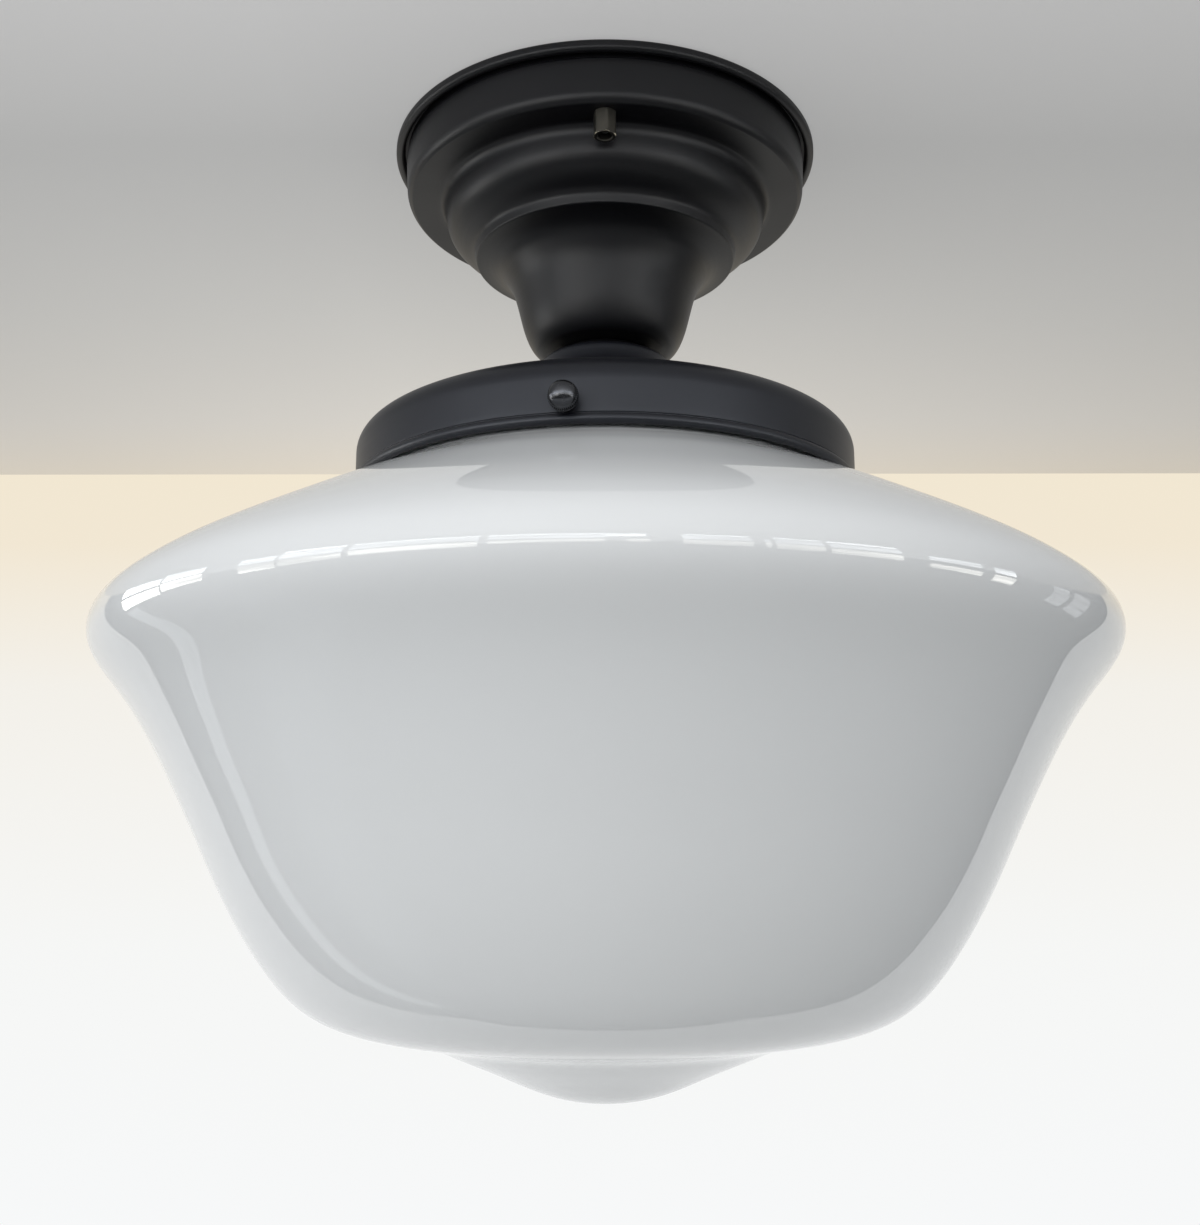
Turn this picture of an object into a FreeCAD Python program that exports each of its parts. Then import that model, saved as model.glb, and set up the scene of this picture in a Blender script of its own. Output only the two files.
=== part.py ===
import FreeCAD, Part
import os, math
os.makedirs("parts", exist_ok=True)

# Semi flush ceiling light with a round stepped canopy, a six inch shade holder and an opal glass shade.
# Millimetres. Origin: centre of the fixture on the ceiling plane. +Z up, so the light hangs at negative z.
# The bar that screws to the ceiling box runs along Y; the front canopy nut is on the -Y side.

# ---- driving dimensions -------------------------------------------------------------------
BAR_HALF = 62.8          # crossbar half length
BAR_W = 16.0
BAR_T = 2.0
BOX_35 = 44.45           # half of 3 1/2 in, box screw spacing
BOX_275 = 34.925         # half of 2 3/4 in
SLOT_R = 2.25            # box screw slots, half width
SLOT_35_L = 9.0          # end to end
SLOT_275_L = 7.0
BAR_CENTRE_R = 5.3       # centre hole
STUD_C = 58.7            # half of the 4 5/8 in stud spacing
THREAD_R = 2.08          # 8-32 thread, major radius
THREAD_FIT = 0.05        # radial running clearance of every thread stand-in
STUD_Z = -23.0           # lower end of the studs
NUT_AF = 6.2             # canopy nut, across flats
NUT_Z0 = -17.3           # seat of the canopy nut on the canopy
NUT_L = 7.6
CAN_T = 0.9              # canopy sheet
NIP_R = 5.1              # 1/8-IP nipple
NIP_BORE = 3.5
HOLD_Z0 = -71.2          # top of the shade holder
HOLD_T = 1.0
SKIRT_R = 78.6           # holder skirt, outside
SKIRT_Z = -119.0         # lower edge of the holder
SCREW_Z = -113.0         # thumb screw axes
SCREW_AZ = (-7.5, 112.5, 232.5)   # turn of each thumb screw from -Y, about +Z seen from below the front
SCREW_TIP = 72.3
NECK_R = 72.0            # glass neck, outside
GLASS_T = 4.0
BULB_PITCH = 3.63

V = FreeCAD.Vector
Z = V(0, 0, 1)
O = V(0, 0, 0)


def P(rz):
    return V(rz[0], 0, rz[1])


def line(a, b):
    return Part.LineSegment(P(a), P(b)).toShape()


def arc(a, m, b):
    return Part.Arc(P(a), P(m), P(b)).toShape()


def unit(t):
    n = math.hypot(t[0], t[1])
    return (t[0] / n, t[1] / n)


def smooth(pts, t0=None, t1=None):
    # one smooth curve through the points: cubic pieces on chord length, tangents from the neighbours
    n = len(pts)
    u = [0.0]
    for i in range(1, n):
        u.append(u[-1] + math.hypot(pts[i][0] - pts[i - 1][0], pts[i][1] - pts[i - 1][1]))
    d = []
    for i in range(n - 1):
        h = u[i + 1] - u[i]
        d.append(((pts[i + 1][0] - pts[i][0]) / h, (pts[i + 1][1] - pts[i][1]) / h))
    t = [None] * n
    for i in range(1, n - 1):
        a, b = u[i] - u[i - 1], u[i + 1] - u[i]
        t[i] = tuple((d[i - 1][k] * b + d[i][k] * a) / (a + b) for k in (0, 1))
    t[0] = unit(t0) if t0 else tuple(2 * d[0][k] - t[1][k] for k in (0, 1))
    t[-1] = unit(t1) if t1 else tuple(2 * d[-1][k] - t[-2][k] for k in (0, 1))
    poles = [pts[0]]
    for i in range(n - 1):
        h = (u[i + 1] - u[i]) / 3.0
        poles.append((pts[i][0] + t[i][0] * h, pts[i][1] + t[i][1] * h))
        poles.append((pts[i + 1][0] - t[i + 1][0] * h, pts[i + 1][1] - t[i + 1][1] * h))
    poles.append(pts[-1])
    c = Part.BSplineCurve()
    c.buildFromPolesMultsKnots([P(q) for q in poles], [4] + [2] * (n - 2) + [4], u, False, 3)
    return c


def spline(pts, t0=None, t1=None):
    return smooth(pts, t0, t1).toShape()


def revolve(edges):
    w = Part.Wire(Part.__sortEdges__(edges))
    f = Part.Face(w)
    s = f.revolve(O, Z, 360)
    if s.ShapeType != "Solid":
        s = Part.makeSolid(s)
    if s.Volume < 0:
        s.reverse()
    return s


def lathe(pts):
    # closed polygon of (r, z) corners, turned about the axis
    e = [line(pts[i], pts[(i + 1) % len(pts)]) for i in range(len(pts))]
    return revolve(e)


def cyl(r, z0, z1, x=0.0, y=0.0):
    return Part.makeCylinder(r, abs(z1 - z0), V(x, y, min(z0, z1)), Z)


def hexprism(af, z0, z1, x=0.0, y=0.0, turn=0.0, chamfer=0.0, low=True, high=False):
    rc = af / 2.0 / math.cos(math.pi / 6)
    pts = [V(x + rc * math.cos(math.radians(turn + 60 * i)), y + rc * math.sin(math.radians(turn + 60 * i)), z0)
           for i in range(7)]
    f = Part.Face(Part.makePolygon(pts))
    s = f.extrude(V(0, 0, z1 - z0))
    if chamfer:
        # a turned chamfer: common with a body of revolution
        zl, zh = min(z0, z1), max(z0, z1)
        ra = af / 2.0
        prof = [(0, zl)]
        prof += [(ra - 0.05, zl), (rc + 0.4, zl + (rc + 0.45 - ra) * chamfer)] if low else [(rc + 0.4, zl)]
        prof += [(rc + 0.4, zh - (rc + 0.45 - ra) * chamfer), (ra - 0.05, zh)] if high else [(rc + 0.4, zh)]
        prof += [(0, zh)]
        t = lathe(prof)
        t.translate(V(x, y, 0))
        s = s.common(t)
        s = s.Solids[0]
    return s


def around(shape, az):
    # place a piece modelled on the -Y side at azimuth az
    s = shape.copy()
    s.rotate(O, Z, az)
    return s


def slot(y, r, length, z0, z1):
    a = (length / 2.0) - r
    b = Part.makeBox(2 * r, 2 * a, abs(z1 - z0), V(-r, y - a, min(z0, z1)))
    return b.fuse([cyl(r, z0, z1, 0, y - a), cyl(r, z0, z1, 0, y + a)]).removeSplitter()


def tube_path(points, r, name):
    # straight runs joined by tangent arcs, swept with a round section
    pts = [V(*p) for p in points]
    n = len(pts)
    edges = []
    cur = pts[0]
    radii = []
    total = 0.0
    for i in range(1, n - 1):
        a = (pts[i] - pts[i - 1])
        b = (pts[i + 1] - pts[i])
        la, lb = a.Length, b.Length
        ua, ub = V(a).normalize(), V(b).normalize()
        ang = math.acos(max(-1.0, min(1.0, ua.dot(ub))))
        rad = 0.45 * min(la, lb) / math.tan(ang / 2.0)
        cut = rad * math.tan(ang / 2.0)
        p0 = pts[i] - ua * cut
        p1 = pts[i] + ub * cut
        nrm = (ub - ua).normalize()
        centre = pts[i] + nrm * (rad / math.cos(ang / 2.0))
        mid = centre - nrm * rad
        edges.append(Part.LineSegment(cur, p0).toShape())
        total += (p0 - cur).Length
        edges.append(Part.Arc(p0, mid, p1).toShape())
        total += rad * ang
        radii.append(round(rad, 1))
        cur = p1
    edges.append(Part.LineSegment(cur, pts[-1]).toShape())
    total += (pts[-1] - cur).Length
    w = Part.Wire(edges)
    d = (pts[1] - pts[0]).normalize()
    c = Part.Wire([Part.Circle(pts[0], d, r).toShape()])
    s = w.makePipeShell([c], True, True)
    if s.ShapeType != "Solid":
        s = Part.makeSolid(s)
    if s.Volume < 0:
        s.reverse()
    print(name, "radii", radii, "length %.1f" % total, "volume %.2f of %.2f" % (s.Volume, total * math.pi * r * r))
    return s


OUT = {}


def put(name, *solids):
    flat = []
    for s in solids:
        flat += list(s.Solids) if s.ShapeType != "Solid" else [s]
    for s in flat:
        if not s.isValid():
            print("INVALID", name)
    OUT[name] = Part.makeCompound(flat) if len(flat) > 1 else flat[0]


# ---- what screws to the ceiling box ---------------------------------------------------------
bar = Part.makeBox(BAR_W, 2 * BAR_HALF, BAR_T, V(-BAR_W / 2, -BAR_HALF, -BAR_T))
vert = [e for e in bar.Edges if abs(e.Vertexes[0].Z - e.Vertexes[1].Z) > 1]
bar = bar.makeFillet(5.0, vert)
for s in (-1, 1):
    bar = bar.cut(slot(s * BOX_35, SLOT_R, SLOT_35_L, 1, -3))
    bar = bar.cut(slot(s * BOX_275, SLOT_R, SLOT_275_L, 1, -3))
    bar = bar.cut(cyl(THREAD_R + THREAD_FIT, 1, -3, 0, s * STUD_C))
bar = bar.cut(cyl(BAR_CENTRE_R, 1, -3))
bar = bar.cut(cyl(2.45, 1, -3, 0, 20.0))
put("crossbar", bar)

studs = []
locknuts = []
for s in (-1, 1):
    st = lathe([(0, -0.2), (THREAD_R - 0.4, -0.2), (THREAD_R, -0.6), (THREAD_R, STUD_Z + 0.8),
                (THREAD_R - 0.8, STUD_Z), (0, STUD_Z)])
    st.translate(V(0, s * STUD_C, 0))
    studs.append(st)
    ln = hexprism(7.9, -BAR_T - 3.2, -BAR_T, 0, s * STUD_C, 0, 0.55, True, False)
    ln = ln.cut(cyl(THREAD_R + THREAD_FIT, 0, -8, 0, s * STUD_C))
    locknuts.append(ln)
put("canopy_studs", *studs)
put("stud_locknuts", *locknuts)

gs = hexprism(7.9, -BAR_T - 3.4, -BAR_T - 0.9, 0, 20, 0, 0.55, True, False)
gs = gs.fuse(cyl(5.4, -BAR_T - 0.9, -BAR_T, 0, 20))
gs = gs.fuse(cyl(2.4, -BAR_T, -0.1, 0, 20)).removeSplitter()
gs = gs.cut(Part.makeBox(12, 1.0, 1.4, V(-6, 19.5, -BAR_T - 3.4)))
put("ground_screw", gs)

# ---- canopy: one spun steel shell with a rolled rim ------------------------------------------
A_BEAD = [(69.2, -1.2), (69.2, -2.1)]
outer = [
    line((64.3, 0.0), (68.0, 0.0)),
    arc((68.0, 0.0), (68.85, -0.35), (69.2, -1.2)),
    line((69.2, -1.2), (69.2, -2.1)),
    arc((69.2, -2.1), (68.75, -3.1), (67.75, -3.45)),
    arc((67.75, -3.45), (66.85, -3.1), (66.4, -2.3)),
    line((66.4, -2.3), (66.4, -1.0)),
    line((66.4, -1.0), (65.2, -1.0)),
    line((65.2, -1.0), (65.2, -3.5)),
    arc((65.2, -3.5), (65.6, -3.8), (65.75, -4.3)),
    line((65.75, -4.3), (65.3, -14.0)),
    arc((65.3, -14.0), (64.85, -15.9), (63.9, -17.1)),
    line((63.9, -17.1), (63.5, -17.3)),
    line((63.5, -17.3), (54.8, -17.3)),
    spline([(54.8, -17.3), (53.5, -17.95), (52.8, -19.3), (52.45, -22.0), (51.9, -24.9), (50.7, -27.3),
            (48.8, -29.3), (46.6, -30.9), (44.6, -32.1), (43.2, -33.2), (42.7, -34.5)], (-1, 0), (-0.15, -1)),
    line((42.7, -34.5), (42.45, -36.2)),
    arc((42.45, -36.2), (42.3, -36.6), (41.95, -36.8)),
    spline([(41.95, -36.8), (39.0, -37.35), (36.1, -38.5), (33.7, -40.4), (32.1, -42.8), (30.85, -45.0),
            (29.85, -47.4), (28.9, -50.5), (28.1, -53.6), (27.35, -56.6), (26.5, -59.8), (25.5, -62.6),
            (24.2, -65.3), (22.9, -67.0), (21.2, -67.95), (19.2, -68.2)], (-1, -0.09), (-1, 0)),
    line((19.2, -68.2), (5.4, -68.2)),
]
inner = [
    line((5.4, -68.2), (5.4, -67.3)),
    line((5.4, -67.3), (19.2, -67.3)),
    spline([(19.2, -67.3), (20.8, -67.05), (22.15, -66.3), (23.35, -64.8), (24.6, -62.2), (25.6, -59.5),
            (26.45, -56.4), (27.2, -53.4), (28.0, -50.3), (28.95, -47.1), (29.95, -44.6), (31.2, -42.3),
            (33.0, -39.7), (35.6, -37.65), (38.7, -36.5), (41.1, -36.0)], (1, 0), (1, 0.1)),
    line((41.1, -36.0), (41.55, -35.6)),
    line((41.55, -35.6), (41.8, -34.4)),
    spline([(41.8, -34.4), (42.4, -32.7), (44.0, -31.35), (46.0, -30.1), (48.1, -28.6), (49.9, -26.8),
            (51.0, -24.7), (51.55, -21.9), (51.9, -19.1), (52.9, -17.1), (54.8, -16.4)], (0.15, 1), (1, 0)),
    line((54.8, -16.4), (63.1, -16.4)),
    arc((63.1, -16.4), (64.0, -15.5), (64.4, -13.9)),
    line((64.4, -13.9), (64.8, -4.6)),
    line((64.8, -4.6), (64.3, -3.5)),
    line((64.3, -3.5), (64.3, 0.0)),
]
canopy = revolve(outer + inner)
for s in (-1, 1):
    canopy = canopy.cut(cyl(2.5, -10, -25, 0, s * STUD_C))
put("canopy_shell", canopy)

# ---- canopy nuts -----------------------------------------------------------------------------
for nm, s in (("canopy_nut_front", -1), ("canopy_nut_back", 1)):
    n = hexprism(NUT_AF, NUT_Z0 - NUT_L, NUT_Z0, 0, s * STUD_C, 10, 0.6, True, True)
    n = n.cut(cyl(THREAD_R + THREAD_FIT, NUT_Z0 + 1, STUD_Z - 0.5, 0, s * STUD_C))
    put(nm, n)

# ---- centre stack: nipple, nuts, washer, lug, spacer ----------------------------------------------
nip = lathe([(NIP_BORE, -56.6), (NIP_R - 0.5, -56.6), (NIP_R, -57.1), (NIP_R, -83.0), (NIP_R - 0.5, -83.5),
             (NIP_BORE, -83.5)])
put("nipple", nip)
put("nipple_top_nut", hexprism(15.9, -64.6, -61.2, 0, 0, 0, 0.5, False, True).cut(cyl(NIP_R + 0.05, -60, -70)))
wash = lathe([(NIP_R + 0.3, -65.6), (8.9, -65.6), (8.9, -64.6), (NIP_R + 0.3, -64.6)])
for i in range(12):
    t = Part.makeBox(0.9, 1.6, 3, V(-0.45, 7.6, -67))
    t.rotate(O, Z, 30 * i)
    wash = wash.cut(t)
put("nipple_lock_washer", wash)
lug = lathe([(NIP_R + 0.3, -67.3), (8.6, -67.3), (8.6, -66.5), (NIP_R + 0.3, -66.5)])
tab = Part.makeBox(5.0, 7.5, 0.8, V(-2.5, 7.0, -67.3))
tab = tab.fuse(Part.makeBox(5.0, 0.8, 3.4, V(-2.5, 13.7, -67.3)))
ferrule = cyl(1.75, -64.5, -58.5, 0, 14.1).cut(cyl(1.15, -61.5, -58.4, 0, 14.1))
lug = lug.fuse(tab).fuse(ferrule).removeSplitter()
put("ground_lug", lug)
put("ground_ring_washer", lathe([(NIP_R + 0.3, -66.5), (9.2, -66.5), (9.2, -65.6), (NIP_R + 0.3, -65.6)]))
put("neck_spacer", revolve([
    line((NIP_R + 0.2, -68.2), (13.0, -68.2)), arc((13.0, -68.2), (14.4, -68.8), (15.0, -69.7)),
    arc((15.0, -69.7), (14.4, -70.6), (13.0, -71.2)), line((13.0, -71.2), (NIP_R + 0.2, -71.2)),
    line((NIP_R + 0.2, -71.2), (NIP_R + 0.2, -68.2))]))

# ---- shade holder: spun bell with a straight skirt and a rolled lower hem ----------------------------
ho = [
    line((5.3, HOLD_Z0), (18.3, HOLD_Z0)),
    arc((18.3, HOLD_Z0), (20.1, -71.9), (20.9, -73.6)),
    spline([(20.9, -73.6), (21.7, -76.6), (24.0, -80.6), (29.0, -84.8), (37.5, -88.4), (48.5, -91.4), (59.0, -94.0),
            (67.0, -96.2), (72.6, -98.3), (76.6, -101.0), (78.3, -103.8), (SKIRT_R, -106.5)], (0.15, -1), (0, -1)),
    line((SKIRT_R, -106.5), (SKIRT_R, -115.7)),
    line((SKIRT_R, -115.7), (78.3, -116.0)),
    arc((78.3, -116.0), (79.3, -116.35), (79.75, -117.5)),
    arc((79.75, -117.5), (79.3, -118.6), (78.3, SKIRT_Z)),
    line((78.3, SKIRT_Z), (77.9, SKIRT_Z)),
]
hi = [
    line((77.9, SKIRT_Z), (77.6, -118.6)),
    line((77.6, -118.6), (77.6, -106.5)),
    spline([(77.6, -106.5), (77.35, -104.1), (75.85, -101.7), (72.1, -99.2), (66.6, -97.15), (58.7, -94.95),
            (48.2, -92.35), (37.1, -89.3), (28.45, -85.6), (23.2, -81.2), (20.75, -76.9), (19.9, -73.8)],
           (0, 1), (-0.15, 1)),
    arc((19.9, -73.8), (19.3, -72.6), (18.1, HOLD_Z0 - HOLD_T)),
    line((18.1, HOLD_Z0 - HOLD_T), (5.3, HOLD_Z0 - HOLD_T)),
    line((5.3, HOLD_Z0 - HOLD_T), (5.3, HOLD_Z0)),
]
holder = revolve(ho + hi)
for az in SCREW_AZ:
    h = Part.makeCylinder(THREAD_R + 0.07, 12, V(0, -74, SCREW_Z), V(0, -1, 0))
    holder = holder.cut(around(h, az))
put("shade_holder", holder)
put("holder_lock_nut", hexprism(15.9, -75.6, -72.2, 0, 0, 0, 0.5, True, False).cut(cyl(NIP_R + 0.05, -70, -80)))

bosses = []
for az in SCREW_AZ:
    b = Part.makeCylinder(2.9, 5.0, V(0, -76.0, SCREW_Z), V(0, -1, 0))
    b = b.cut(cyl(SKIRT_R, -100, -125))
    b = b.cut(Part.makeCylinder(THREAD_R + 0.07, 12, V(0, -74, SCREW_Z), V(0, -1, 0)))
    bosses.append(around(b, az))
put("thumbscrew_bosses", *bosses)


def on_screw_axis(pts):
    # body of revolution about the screw axis, from (distance from the fixture axis, radius) pairs
    vv = [V(pr, 0, -d) for d, pr in pts]
    f = Part.Face(Part.makePolygon(vv + [vv[0]]))
    s = f.revolve(O, Z, 360)
    s = Part.makeSolid(s) if s.ShapeType != "Solid" else s
    if s.Volume < 0:
        s.reverse()
    # local -Z becomes -Y
    s.rotate(O, V(1, 0, 0), -90)
    s.translate(V(0, 0, SCREW_Z))
    return s


for i, az in enumerate(SCREW_AZ):
    shank = on_screw_axis([(SCREW_TIP, 0), (SCREW_TIP, 0.35), (SCREW_TIP + 1.73, THREAD_R), (81.6, THREAD_R),
                           (81.6, 0)])
    put("thumbscrew_shank_%d" % (i + 1), around(shank, az))
    # round head: thin shoulder, band at the size of the knurl's crests, domed face
    head = revolve([
        line((0, -81.6), (3.2, -81.6)), line((3.2, -81.6), (3.2, -82.4)), line((3.2, -82.4), (3.95, -82.4)),
        line((3.95, -82.4), (4.1, -82.6)), line((4.1, -82.6), (4.1, -84.6)), line((4.1, -84.6), (3.8, -85.0)),
        arc((3.8, -85.0), (2.7, -87.0), (0.6, -88.03)), line((0.6, -88.03), (0, -88.03)),
        line((0, -88.03), (0, -81.6))])
    head.rotate(O, V(1, 0, 0), -90)
    head.translate(V(0, 0, SCREW_Z))
    put("thumbscrew_head_%d" % (i + 1), around(head, az))

# ---- lampholder -----------------------------------------------------------------------------------
cap = revolve([
    line((NIP_R + 0.05, -77.0), (8.0, -77.0)), arc((8.0, -77.0), (8.4, -77.2), (8.6, -77.6)),
    line((8.6, -77.6), (8.6, -81.0)),
    spline([(8.6, -81.0), (9.6, -83.0), (13.4, -84.4), (17.6, -86.2), (19.6, -89.2), (19.8, -92.0)],
           (0, -1), (0, -1)),
    line((19.8, -92.0), (18.3, -92.0)),
    spline([(18.3, -92.0), (18.1, -89.6), (16.4, -87.4), (12.6, -85.9), (9.4, -84.9), (7.2, -84.0)],
           (0, 1), (-1, 0.4)),
    line((7.2, -84.0), (NIP_R + 0.05, -84.0)), line((NIP_R + 0.05, -84.0), (NIP_R + 0.05, -77.0))])
ss = Part.makeCylinder(1.5, 6.0, V(5.0, 0, -79.3), V(1, 0, 0))
cap = cap.cut(Part.makeCylinder(1.55, 8.0, V(4.0, 0, -79.3), V(1, 0, 0)))
put("lampholder_cap", cap)
put("cap_set_screw", Part.makeCylinder(1.5, 4.4, V(NIP_R + 0.05, 0, -79.3), V(1, 0, 0))
    .cut(Part.makeBox(1.2, 4, 0.5, V(8.5, -2, -79.55))))
body = revolve([
    line((0, -92.0), (19.8, -92.0)), line((19.8, -92.0), (19.8, -98.0)), line((19.8, -98.0), (18.6, -99.2)),
    line((18.6, -99.2), (18.6, -113.2)), line((18.6, -113.2), (19.4, -114.0)),
    line((19.4, -114.0), (19.4, -115.5)), arc((19.4, -115.5), (19.1, -116.3), (18.3, -116.6)),
    line((18.3, -116.6), (15.3, -116.6)), line((15.3, -116.6), (14.6, -115.8)),
    line((14.6, -115.8), (14.6, -95.4)), line((14.6, -95.4), (0, -95.4)), line((0, -95.4), (0, -92.0))])
for s in (-1, 1):
    body = body.cut(cyl(1.55, -91, -94.4, 0, s * 11.0))
    body = body.cut(cyl(1.65, -91, -98, s * 16.4, 0))
put("lampholder_body", body)
# the screw shell has rolled rings in place of the thread
sh = [(14.4, -95.6), (14.4, -115.2), (13.95, -115.2)]
z = -114.6
ring = []
while z < -99.0:
    ring += [(13.75, z), (13.45, z + 0.9), (13.45, z + 1.2), (13.75, z + 2.1)]
    z += BULB_PITCH
sh += ring + [(13.95, -97.6), (13.95, -96.1), (8.0, -96.1), (8.0, -95.6)]
put("screw_shell", lathe(sh))
con = cyl(4.2, -95.4, -95.9).fuse(Part.makeBox(3.2, 4.6, 0.5, V(-1.6, 0, -95.9)))
con = con.fuse(lathe([(0, -95.9), (3.0, -95.9), (2.4, -96.7), (0, -96.9)])).removeSplitter()
put("centre_contact", con)
terms = []
for s in (-1, 1):
    t = cyl(3.2, -90.0, -91.6, 0, s * 11.0).fuse(cyl(1.5, -91.6, -94.2, 0, s * 11.0)).removeSplitter()
    t = t.cut(Part.makeBox(5, 0.8, 0.7, V(-2.5, s * 11.0 - 0.4, -90.7)))
    terms.append(t)
put("terminal_screws", *terms)
put("terminal_plates", *[Part.makeBox(6.0, 7.0, 0.4, V(-3.0, s * 11.0 - 3.5, -92.0)).cut(cyl(1.55, -90, -95, 0, s * 11.0))
                         for s in (-1, 1)])
lhs = []
for s in (-1, 1):
    lhs.append(cyl(1.6, -92.0, -97.5, s * 16.4, 0))
put("lampholder_screws", *lhs)

# ---- internal leads -----------------------------------------------------------------------------------
LEAD_R = 1.1
put("hot_lead", tube_path([(0, -7.6, -90.2), (0, -1.5, -85.8), (0, -1.5, -64), (0, -1.8, -48), (-7.5, -8, -30),
                           (-17, -14.5, -15), (-34, -17, -9.2)], LEAD_R, "hot_lead"))
put("neutral_lead", tube_path([(0, 7.6, -90.2), (0, 1.5, -85.8), (0, 1.5, -64), (0, 1.8, -46), (-8, 2.6, -27),
                               (-18, 2.2, -13.5), (-34, 2, -9.2)], LEAD_R, "neutral_lead"))
put("ground_lead", tube_path([(0, 14.1, -61.4), (0, 14.1, -48), (-6, 17, -31), (-16.5, 20.6, -15.5),
                              (-34, 21, -9.2)], LEAD_R, "ground_lead"))
cons = []
for y in (-17.0, 2.0, 21.0):
    c = revolve([line((0, -20.5), (2.6, -20.5)), arc((2.6, -20.5), (3.7, -20.0), (4.2, -18.9)),
                 line((4.2, -18.9), (6.2, -3.4)), line((6.2, -3.4), (6.6, -3.0)), line((6.6, -3.0), (6.6, 0)),
                 line((6.6, 0), (5.4, 0)), line((5.4, 0), (3.4, -10.5)), line((3.4, -10.5), (0, -10.5)),
                 line((0, -10.5), (0, -20.5))])
    ribs = []
    for k in range(12):
        g = Part.makeBox(1.0, 1.0, 15.0, V(-0.5, -0.5, -19.4))
        g.rotate(V(0, 0, 0), V(0, 1, 0), 0)
        g.translate(V(5.75, 0, 0))
        g.rotate(V(4.9, 0, -3.4), V(0, 1, 0), -7.3)
        g.translate(V(0.75, 0, 0))
        g.rotate(O, Z, 30 * k)
        ribs.append(g)
    c = c.cut(ribs)
    if c.ShapeType != "Solid":
        c = sorted(c.Solids, key=lambda q: -q.Volume)[0]
    c.rotate(O, V(0, 1, 0), 90)      # local -Z points to -X
    c.translate(V(-29.5, y, -9.2))
    cons.append(c)
put("wire_connectors", *cons)

# ---- bulb ------------------------------------------------------------------------------------------------
bz = [(13.0, -121.2), (13.0, -118.2), (12.75, -117.4)]
z = -116.8
while z < -100.5:
    bz += [(12.75, z), (13.05, z + 0.9), (13.05, z + 1.3), (12.75, z + 2.1)]
    z += BULB_PITCH
bz += [(12.6, -99.2), (11.2, -98.3), (9.6, -98.3), (9.6, -98.8), (11.0, -98.8), (12.1, -99.6), (12.3, -100.4),
       (12.3, -121.2)]
put("bulb_base", lathe(bz))
put("bulb_insulator", lathe([(2.7, -98.3), (9.6, -98.3), (9.6, -98.8), (9.0, -99.8), (2.7, -99.8)]))
put("bulb_contact", lathe([(0, -97.1), (1.9, -97.2), (2.6, -97.9), (2.6, -99.8), (0, -99.8)]))
bo = spline([(12.2, -101.6), (12.2, -112.0), (12.2, -118.0), (12.2, -121.6), (13.1, -126.0), (16.4, -132.5), (20.5, -140.5), (25.6, -150.5),
             (29.2, -161.5), (30.0, -172.0), (27.9, -183.6), (22.3, -193.6), (13.5, -200.4), (0, -203.2)],
            (0, -1), (-1, 0))
bi = spline([(0, -202.4), (13.0, -199.7), (21.6, -193.0), (27.1, -183.2), (29.2, -172.0), (28.4, -161.8), (24.9, -150.9),
             (19.8, -140.9), (15.6, -132.9), (12.3, -126.3), (11.4, -121.7), (11.4, -112.0), (11.4, -101.6)],
            (1, 0), (0, 1))
put("bulb_glass", revolve([bo, line((0, -203.2), (0, -202.4)), bi, line((11.4, -101.6), (12.2, -101.6))]))

# ---- glass shade --------------------------------------------------------------------------------------------
# outside of the shade from the neck down, (r, z)
G_OUT = [(NECK_R, -108.0), (NECK_R, -112.5), (72.35, -115.4), (73.7, -117.8), (76.4, -119.6), (80.8, -121.5),
         (88.0, -124.9), (95.6, -128.5), (103.0, -132.3), (110.4, -136.2), (117.8, -140.1), (125.0, -144.0),
         (132.0, -148.0), (138.6, -152.1), (144.4, -156.4), (148.9, -160.4), (151.6, -164.4), (152.4, -168.4),
         (151.4, -172.6), (149.0, -176.6), (145.7, -180.6), (142.4, -184.6), (139.3, -188.8), (136.4, -193.2),
         (133.5, -198.0), (130.7, -203.0), (127.9, -208.4), (125.2, -213.8), (122.5, -219.2), (119.7, -225.0),
         (116.9, -231.0), (114.0, -237.0), (110.9, -243.0), (107.5, -249.0), (103.9, -254.8), (99.9, -260.6),
         (95.4, -266.2), (90.0, -271.4), (83.4, -275.6), (75.6, -278.5), (67.0, -280.3), (58.5, -281.7),
         (52.0, -283.4), (46.4, -285.7), (41.0, -288.0), (35.6, -290.1), (29.8, -292.6), (23.6, -295.3),
         (16.4, -297.9), (8.6, -299.5), (0.0, -300.0)]


def dense(pts, t0, t1, n):
    c = smooth(pts, t0, t1)
    out = []
    for i in range(n + 1):
        u = c.FirstParameter + (c.LastParameter - c.FirstParameter) * i / n
        p = c.value(u)
        t = c.tangent(u)[0]
        out.append(((p.x, p.z), (t.x, t.z)))
    return out


# inside: the same line, one wall thickness in
g_in = []
for (p, t) in dense(G_OUT, (0, -1), (-1, 0), 48):
    nx, nz = t[1], -t[0]          # to the left of the way down is towards the axis
    q = (p[0] + nx * GLASS_T, p[1] + nz * GLASS_T)
    g_in.append(q)
g_in[0] = (NECK_R - GLASS_T, -108.0)
g_in[-1] = (0.0, g_in[-1][1])
outer_e = spline(G_OUT, (0, -1), (-1, 0))
inner_e = spline(list(reversed(g_in)), (1, 0), (0, 1))
# lip of the neck: it stands proud of the neck above the thumb screws
lip = [
    line((NECK_R, -108.0), (NECK_R, -105.0)),
    arc((NECK_R, -105.0), (72.4, -104.2), (73.3, -103.9)),
    arc((73.3, -103.9), (74.5, -102.7), (73.4, -101.4)),
    arc((73.4, -101.4), (70.6, -100.9), (68.6, -101.8)),
    arc((68.6, -101.8), (68.15, -102.8), (NECK_R - GLASS_T, -104.0)),
    line((NECK_R - GLASS_T, -104.0), (NECK_R - GLASS_T, -108.0)),
]
shade = revolve([outer_e, line((0, -300.0), (0, g_in[-1][1])), inner_e] + lip)
put("glass_shade", shade)

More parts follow.
